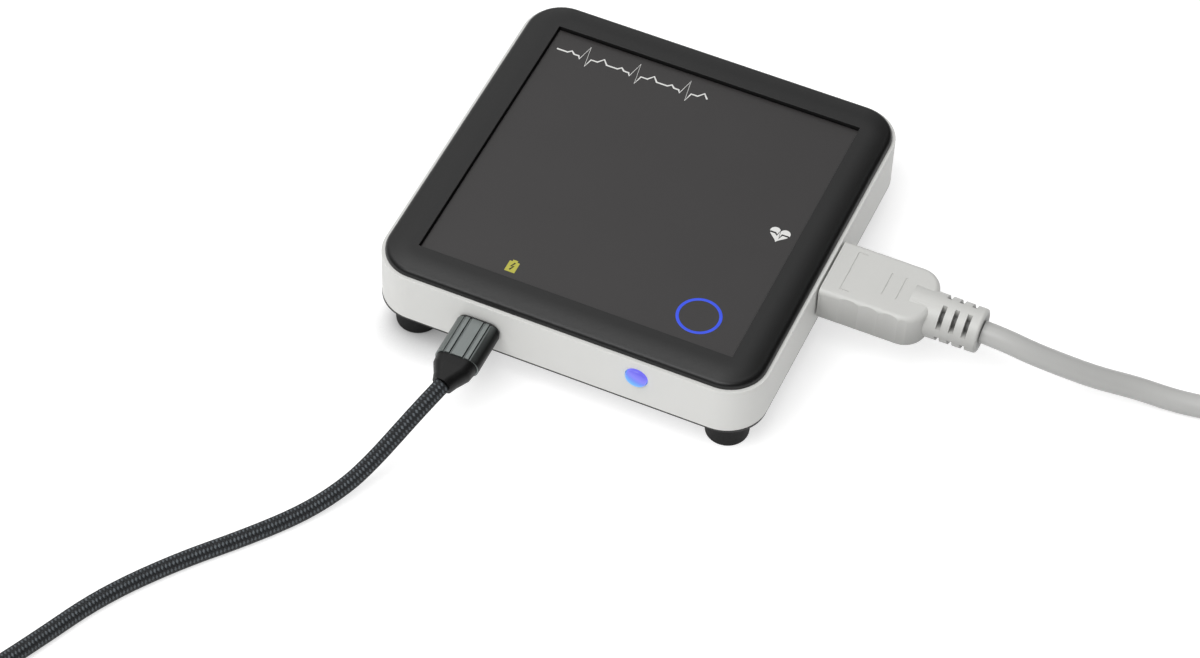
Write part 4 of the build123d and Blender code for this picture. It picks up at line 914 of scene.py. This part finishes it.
sleeve_start = -56.1
sleeve_length = 13.0
sleeve_end = sleeve_start - sleeve_length
sleeve_width = 12.3
sleeve_height = 6.8
sleeve_round = sleeve_height * 0.46
sleeve_wall = 0.6
sleeve_edge = 0.08
groove_depth = 0.35
groove_shares = (-0.297, -0.155, 0.155, 0.297)
usb_sleeve = block(
    "usb_sleeve_ribbed", (usb_x - sleeve_width / 2, sleeve_end, usb_z - sleeve_height / 2),
    (usb_x + sleeve_width / 2, sleeve_start, usb_z + sleeve_height / 2), Y, sleeve_round, steps=10,
)
hollow(usb_sleeve, Y, sleeve_wall)
for share in groove_shares:
    for side in (-1, 1):
        combine(usb_sleeve, rod(
            "groove_cutter",
            (usb_x + share * sleeve_width, sleeve_end - past, usb_z + side * sleeve_height / 2),
            groove_depth, sleeve_length + 2 * past, Y, sides=12,
        ))
soften(usb_sleeve, sleeve_edge)
grey_aluminium = anodised("grey_anodised_aluminium", "#7f8483")
fit(usb_sleeve, grey_aluminium, "grey_aluminium", "usb_lead", "usb_plug_sleeve")
# soft black rubber: satin, with little sheen
relief_rubber = moulded("black_tpe_moulded", "#080808", "#0c0c0c", 0.45, 0.4, 0.01, 1.36)
dress(tinned_steel, "usb_plug_shell")
dress(black_nylon, "usb_plug_core")
dress(relief_rubber, "usb_strain_relief")


# USB cord: one metre of braided cord, out of the relief, down to the table and away to the
# left, the rest put away as a two-layer coil. The jacket is a tight braid of dark yarn.
def at(*points):
    """Places typed in millimetres, as vectors in metres"""
    return [Vector(point) * MM for point in points]


def coil_points(free, side, outer, pitch, quarters_in, quarters_out, lead_in):
    """A coil's points: in on the lower layer, up one pitch, and out again on the upper"""
    way = (free[-1] - free[-2]).normalized()
    way.z = 0
    outward = Vector((way.y, -way.x, 0)) * side
    rate = pitch / (2 * pi)
    slope = sqrt(outer ** 2 + rate ** 2)
    ahead = way * (outer / slope) + outward * (rate / slope)
    radial = outward * (outer / slope) - way * (rate / slope)
    centre = free[-1] + way * lead_in - radial * outer
    turned_in = quarters_in * pi / 2
    turned_all = (quarters_in + quarters_out) * pi / 2
    count = round(turned_all / (2 * pi) * coil_points_a_turn)
    places = []
    for step in range(count + 1):
        turned = turned_all * step / count
        radius = outer - rate * (turned_in - abs(turned - turned_in))
        climbed = min(max((turned - turned_in) / pi + 0.5, 0), 1)
        level = pitch * climbed ** 2 * (3 - 2 * climbed)
        place = centre + (radial * cos(turned) + ahead * sin(turned)) * radius
        places.append(place + Vector((0, 0, level)))
    return places


def lay_cord(name, points, diameter, sides):
    """Smooth tube on one NURBS spline; its UV map is millimetres along and turns round"""
    line = bpy.data.curves.new(name, "CURVE")
    line.dimensions = "3D"
    line.resolution_u = 6
    spline = line.splines.new("NURBS")
    spline.points.add(len(points) - 1)
    for point, place in zip(spline.points, points):
        point.co = (*place, 1)
    spline.order_u = 3
    spline.use_endpoint_u = True
    piece = bpy.data.objects.new(name, line)
    bpy.context.collection.objects.link(piece)
    middle = [
        vertex.co.copy() for vertex in bpy.data.meshes.new_from_object(piece).vertices
    ]
    line.bevel_depth = diameter / 2
    line.bevel_resolution = sides // 2 - 2
    only(piece)
    bpy.ops.object.convert(target="MESH")
    piece = bpy.context.object
    mesh = piece.data
    ring = len(mesh.vertices) // len(middle)
    reached = [0.0]
    for here, there in zip(middle, middle[1:]):
        reached.append(reached[-1] + (there - here).length)
    layer = mesh.uv_layers[0] if mesh.uv_layers else mesh.uv_layers.new(name="cord_map")
    for face in mesh.polygons:
        spots = {mesh.loops[loop].vertex_index % ring for loop in face.loop_indices}
        wraps = 0 in spots and ring - 1 in spots
        for loop in face.loop_indices:
            step, spot = divmod(mesh.loops[loop].vertex_index, ring)
            turn = 1.0 if wraps and spot == 0 else spot / ring
            layer.data[loop].uv = (reached[step] / MM, turn)
    only(piece)
    bpy.ops.object.mode_set(mode="EDIT")
    bpy.ops.mesh.select_all(action="SELECT")
    bpy.ops.mesh.fill_holes(sides=0)
    close_edit()
    bpy.ops.object.shade_smooth_by_angle(angle=radians(50))
    return piece, middle


def braid(name, ground, fleck, cell_mm, carriers):
    """Twill braid: a lighter yarn floats over two dark ones and dives under the next two"""
    material, tree, shader, place = start_material(name)
    axes = add_node(tree, "SeparateXYZ", {"Vector": (place, "UV")})
    along = add_node(tree, "Math", {0: (axes, "X"), 1: cell_mm}, operation="DIVIDE")
    round_it = add_node(tree, "Math", {0: (axes, "Y"), 1: carriers}, operation="MULTIPLY")
    families = []
    for operation in ("ADD", "SUBTRACT"):
        lean = add_node(tree, "Math", {0: (along, 0), 1: (round_it, 0)}, operation=operation)
        part = add_node(tree, "Math", {0: (lean, 0)}, operation="FRACT")
        whole = add_node(tree, "Math", {0: (lean, 0)}, operation="FLOOR")
        arch = add_node(tree, "Math", {0: (part, 0), 1: pi}, operation="MULTIPLY")
        bulge = add_node(tree, "Math", {0: (arch, 0)}, operation="SINE")
        families.append((whole, bulge))
    (whole_light, bulge_light), (whole_dark, bulge_dark) = families
    order = add_node(tree, "Math", {0: (whole_light, 0), 1: (whole_dark, 0)}, operation="ADD")
    step = add_node(tree, "Math", {0: (order, 0), 1: 2.0}, operation="FLOORED_MODULO")
    over = add_node(tree, "Math", {0: (step, 0), 1: 0.5}, operation="LESS_THAN")
    ends = add_node(tree, "MapRange", {0: (bulge_dark, 0), 1: 0.0, 2: 0.45, 3: 0.35, 4: 1.0})
    float_shape = add_node(tree, "Math", {0: (bulge_light, 0), 1: (ends, 0)}, operation="MULTIPLY")
    light_yarn = add_node(tree, "Math", {0: (float_shape, 0), 1: (over, 0)}, operation="MULTIPLY")
    ridge = add_node(
        tree, "Mix", {0: (over, 0), 2: (bulge_dark, 0), 3: (float_shape, 0)}, data_type="FLOAT"
    )
    wear = add_node(tree, "TexNoise", {"Vector": (place, "UV"), "Scale": 0.9, "Detail": 2.0})
    worn = add_node(tree, "Math", {0: (light_yarn, 0), 1: (wear, "Fac")}, operation="MULTIPLY")
    share = add_node(tree, "MapRange", {0: (worn, 0), 1: 0.08, 2: 0.5, 3: 0.0, 4: 1.0})
    tone = add_node(
        tree, "Mix", {0: (share, 0), 6: linear(ground), 7: linear(fleck)}, data_type="RGBA"
    )
    relief = add_node(tree, "Bump", {"Height": (ridge, 0), "Distance": 0.25 * MM, "Strength": 0.8})
    set_inputs(shader, {"Base Color": (tone, 2), "Normal": (relief, 0), "Roughness": 0.7})
    return material


coil_points_a_turn = 24
usb_free = at(
    (-22.4, -77.3, 18.5), (-24.6, -85.0, 17.0), (-27.6, -92.2, 13.2), (-31.0, -99.6, 8.7),
    (-35.0, -107.6, 4.8), (-41.7, -118.3, 2.25), (-51.6, -131.7, 2.25), (-64.3, -146.6, 2.25),
    (-76.1, -164.1, 2.25), (-83.9, -182.5, 2.25), (-90.3, -198.0, 3.35), (-95.8, -213.2, 3.35),
)
usb_tail = at(
    (-75.032, -258.435, 8.35), (-66.74, -261.934, 8.35), (-57.754, -265.074, 6.125),
    (-47.219, -265.829, 3.9), (-37.832, -265.447, 3.9),
)
usb_diameter = 4.5 * MM
usb_coil = coil_points(
    usb_free, side=1, outer=31.2 * MM, pitch=5.0 * MM, quarters_in=11, quarters_out=10,
    lead_in=usb_diameter,
)
usb_cord, usb_line = lay_cord(
    "usb_braided_cord", usb_free + usb_coil + usb_tail, usb_diameter, sides=16
)
# polyester braid: dull slate black with grey flecks where the lighter yarn comes to the top
slate_braid = braid("slate_polyester_braid", "#14171a", "#5a6065", 1.05, 8)
fit(usb_cord, slate_braid, "dark_braid", "usb_lead", "usb_cord", "usb_cord_coil", "usb_cord_tail")


# USB cord's far end: the hook-and-loop tie round its coil, and the computer plug beside it,
# with the same ribbed aluminium and black rubber as the plug at the box.
def webbing(name, dark, light):
    """Hook-and-loop webbing: short looped pile over a woven ground"""
    material, tree, shader, place = start_material(name)
    pile = add_node(
        tree, "TexNoise", {"Vector": (place, "Object"), "Scale": 1 / (0.5 * MM), "Detail": 3.0}
    )
    tone = add_node(
        tree, "Mix", {0: (pile, "Fac"), 6: linear(dark), 7: linear(light)}, data_type="RGBA"
    )
    relief = add_node(
        tree, "Bump", {"Height": (pile, "Fac"), "Distance": 0.3 * MM, "Strength": 0.9}
    )
    set_inputs(shader, {"Base Color": (tone, 2), "Normal": (relief, 0), "Roughness": 0.95})
    return material


strap_edge = 0.25
usb_tie = soften(merged_copy("usb_cord_tie", "usb_coil_strap"), strap_edge)
# nylon webbing: black or grey, and dull, since its loops catch the light at random
black_webbing = webbing("black_hook_and_loop", "#101012", "#26262a")
fit(usb_tie, black_webbing, "black_strap", "usb_lead", "usb_cord_tie")
computer_sleeve = soften(merged_copy("usb_a_sleeve", "computer_plug_sleeve"), sleeve_edge)
fit(computer_sleeve, grey_aluminium, "grey_aluminium", "usb_lead", "usb_a_sleeve")
dress(relief_rubber, "usb_a_strain_relief")
dress(black_nylon, "usb_a_core")
dress(tinned_steel, "usb_a_shell")
dress(white_nylon, "usb_a_contact_block")


# Trunk plug: one grey PVC moulding, a flat grip with scalloped sides that runs into a round
# boot. The boot is slotted so that it bends, and shallow lines mark the grip's upper face.
def soft_pvc(name, dark, light, roughness):
    """Flexible PVC: even grey with a faint sheen and flow marks of the mould"""
    material, tree, shader, place = start_material(name)
    flow, skin = [
        add_node(
            tree, "TexNoise",
            {"Vector": (place, "Object"), "Scale": 1 / (size_mm * MM), "Detail": 3.0},
        )
        for size_mm in (14, 0.5)
    ]
    tone = add_node(
        tree, "Mix", {0: (flow, "Fac"), 6: linear(dark), 7: linear(light)}, data_type="RGBA"
    )
    relief = add_node(
        tree, "Bump", {"Height": (skin, "Fac"), "Distance": 0.015 * MM, "Strength": 0.5}
    )
    set_inputs(shader, {
        "Base Color": (tone, 2), "Normal": (relief, 0), "Roughness": roughness,
        "Subsurface Weight": 0.05, "Subsurface Radius": (2 * MM, 2 * MM, 2 * MM),
    })
    return material


plug_start = 55.5
plug_far = 84.3
plug_width = 19.8
plug_height = 11.2
plug_shoulder = 6.5
plug_edge = 1.5
scallop_count = 4
scallop_pitch = 5.6
scallop_depth = 0.5
scallop_radius = ((scallop_pitch / 2) ** 2 + scallop_depth ** 2) / (2 * scallop_depth)
scallop_reach = plug_width / 2 - scallop_depth + scallop_radius
grip = block(
    "grey_trunk_plug", (plug_start, lead_y - plug_width / 2, lead_z - plug_height / 2),
    (plug_far, lead_y + plug_width / 2, lead_z + plug_height / 2),
)
round_edges(
    grip,
    lambda a, b: abs((b - a).normalized().z) > runs_along and a.x > (plug_far - past) * MM,
    plug_shoulder, steps=12,
)
round_edges(
    grip, lambda a, b: abs(a.z - b.z) < near and max(a.x, b.x) > plug_start * MM + near,
    plug_edge, steps=5,
)
for index in range(scallop_count):
    for side in (-1, 1):
        combine(grip, rod(
            "scallop_cutter",
            (plug_start + (index + 1.5) * scallop_pitch, lead_y + side * scallop_reach,
             lead_z - plug_height),
            scallop_radius, 2 * plug_height, Z, sides=96,
        ))
boot_radius = 6.4
boot_end_radius = 6.1
boot_edge = 0.7
boot_root = 6.0
boot_start = plug_far - boot_root
boot_far = 98.3
boot = rod(
    "boot", (boot_start, lead_y, lead_z), boot_radius, boot_far - boot_start, X,
    boot_end_radius, sides=64,
)
round_edges(boot, lambda a, b: min(a.x, b.x) > boot_far * MM - near, boot_edge, steps=4)
combine(grip, boot, "UNION")
# three slots round a solid core, each parted by two bars that cross in the boot's axis
slot_core = 3.58
slot_width = 1.3
slot_places = (87.1, 90.6, 94.1)
spoke_width = 2.8
spoke_angles = (87, 177)
for slot_x in slot_places:
    slot_ring = rod("slot_cutter", (slot_x, lead_y, lead_z), boot_radius + past, slot_width, X)
    combine(slot_ring, rod(
        "core_cutter", (slot_x - past, lead_y, lead_z), slot_core, slot_width + 2 * past, X
    ))
    for angle in spoke_angles:
        spoke = block(
            "spoke_cutter", (slot_x - past, lead_y - 2 * boot_radius, lead_z - spoke_width / 2),
            (slot_x + slot_width + past, lead_y + 2 * boot_radius, lead_z + spoke_width / 2),
        )
        turn = Matrix.Rotation(radians(angle), 4, "X")
        centre = Matrix.Translation(Vector((slot_x, lead_y, lead_z)) * MM)
        spoke.data.transform(centre @ turn @ centre.inverted())
        combine(slot_ring, spoke)
    combine(grip, slot_ring)
# the marks: a bracket near the box and two bars
mark_depth = 0.2
mark_top = lead_z + plug_height / 2
for low_x, high_x, low_y, high_y in (
    (60.2, 60.6, -7.2, 7.2), (60.2, 62.8, 6.8, 7.2), (60.2, 62.8, -7.2, -6.8),
    (70.8, 71.2, -4.0, 4.0), (74.8, 75.2, -4.0, 4.0),
):
    combine(grip, block(
        "mark_cutter", (low_x, lead_y + low_y, mark_top - mark_depth),
        (high_x, lead_y + high_y, mark_top + past),
    ))
plug_soft_edge = 0.12
soften(grip, plug_soft_edge, angle=30)
# moulded PVC: light grey; painted shade darkens the plug towards its underside and deep in the
# boot's slots
plug_pvc = soft_pvc("grey_pvc_plug", "#c8c8c5", "#cdcdca", 0.42)
tree = plug_pvc.node_tree
place = add_node(tree, "TexCoord")
height = add_node(tree, "SeparateXYZ", {"Vector": (place, "Object")})
# painted shade: darker towards the plug's underside
painted_shade_low, painted_shade_high = lead_z - plug_height / 2, lead_z + plug_height * 0.45
shaded(plug_pvc, (height, "Z"), (painted_shade_low * MM, painted_shade_high * MM), (0.6, 1.0))
level = add_node(tree, "VectorMath", {0: (place, "Object"), 1: (0, 1, 1)}, operation="MULTIPLY")
off_axis = add_node(
    tree, "VectorMath", {0: (level, 0), 1: (0, lead_y * MM, lead_z * MM)}, operation="DISTANCE"
)
# painted shade: darker deep in the boot's slots, near the core
slot_mouth = boot_radius - 0.8
shaded(plug_pvc, (off_axis, 1), (slot_core * MM, slot_mouth * MM), (0.3, 1.0))
fit(grip, plug_pvc, "grey_pvc", "trunk_lead", "lead_plug")
dress(tinned_steel, "lead_plug_shell")


# Trunk cable: a smooth round PVC cable, out of the boot, down to the table and away to the
# right, the rest put away as a two-layer coil that ends in the electrode yoke.
lead_free = at(
    (98.3, -1.5, 20.2), (104.4, -1.4, 19.8), (111.6, -0.6, 17.5), (120.2, 2.0, 13.8),
    (129.2, 5.6, 9.3), (139.0, 10.2, 5.3), (150.0, 12.1, 3.1), (162.0, 14.3, 3.1),
    (174.5, 17.6, 4.2), (188.0, 21.0, 4.2), (201.0, 24.4, 4.2),
)
lead_tail = at(
    (261.303, -7.428, 11.0), (265.239, -19.818, 11.0), (267.896, -33.139, 8.75),
    (267.043, -48.623, 6.5), (263.527, -62.331, 6.5),
)
lead_diameter = 6.2 * MM
lead_coil = coil_points(
    lead_free, side=-1, outer=41.0 * MM, pitch=6.8 * MM, quarters_in=10, quarters_out=11,
    lead_in=lead_diameter,
)
trunk_cable, lead_line = lay_cord(
    "trunk_cable_jacket", lead_free + lead_coil + lead_tail, lead_diameter, sides=20
)
# PVC jacket: a little darker and smoother than the moulded plug
grey_jacket = soft_pvc("grey_pvc_jacket", "#b9b9b7", "#bebebc", 0.36)
fit(
    trunk_cable, grey_jacket, "grey_jacket", "trunk_lead", "lead_cable", "lead_cable_coil",
    "lead_cable_tail",
)


# Trunk cable's far end: its tie, and the yoke with five brass sockets for the electrode leads.
# Boot and block are moulded in the same grey PVC as the plug.
lead_tie = soften(merged_copy("lead_cable_tie", "trunk_coil_strap"), strap_edge)
grey_webbing = webbing("grey_hook_and_loop", "#6e6e6c", "#8a8a88")
fit(lead_tie, grey_webbing, "grey_strap", "trunk_lead", "lead_cable_tie")
yoke_edge = 0.3
yoke = soften(merged_copy("lead_yoke", "electrode_yoke"), yoke_edge, angle=30)
grey_pvc = soft_pvc("grey_pvc_moulded", "#c8c8c5", "#cdcdca", 0.42)
fit(yoke, grey_pvc, "grey_pvc", "trunk_lead", "lead_yoke")
dress(grey_pvc, "yoke_strain_relief")
dress(contact_brass, "yoke_sockets")
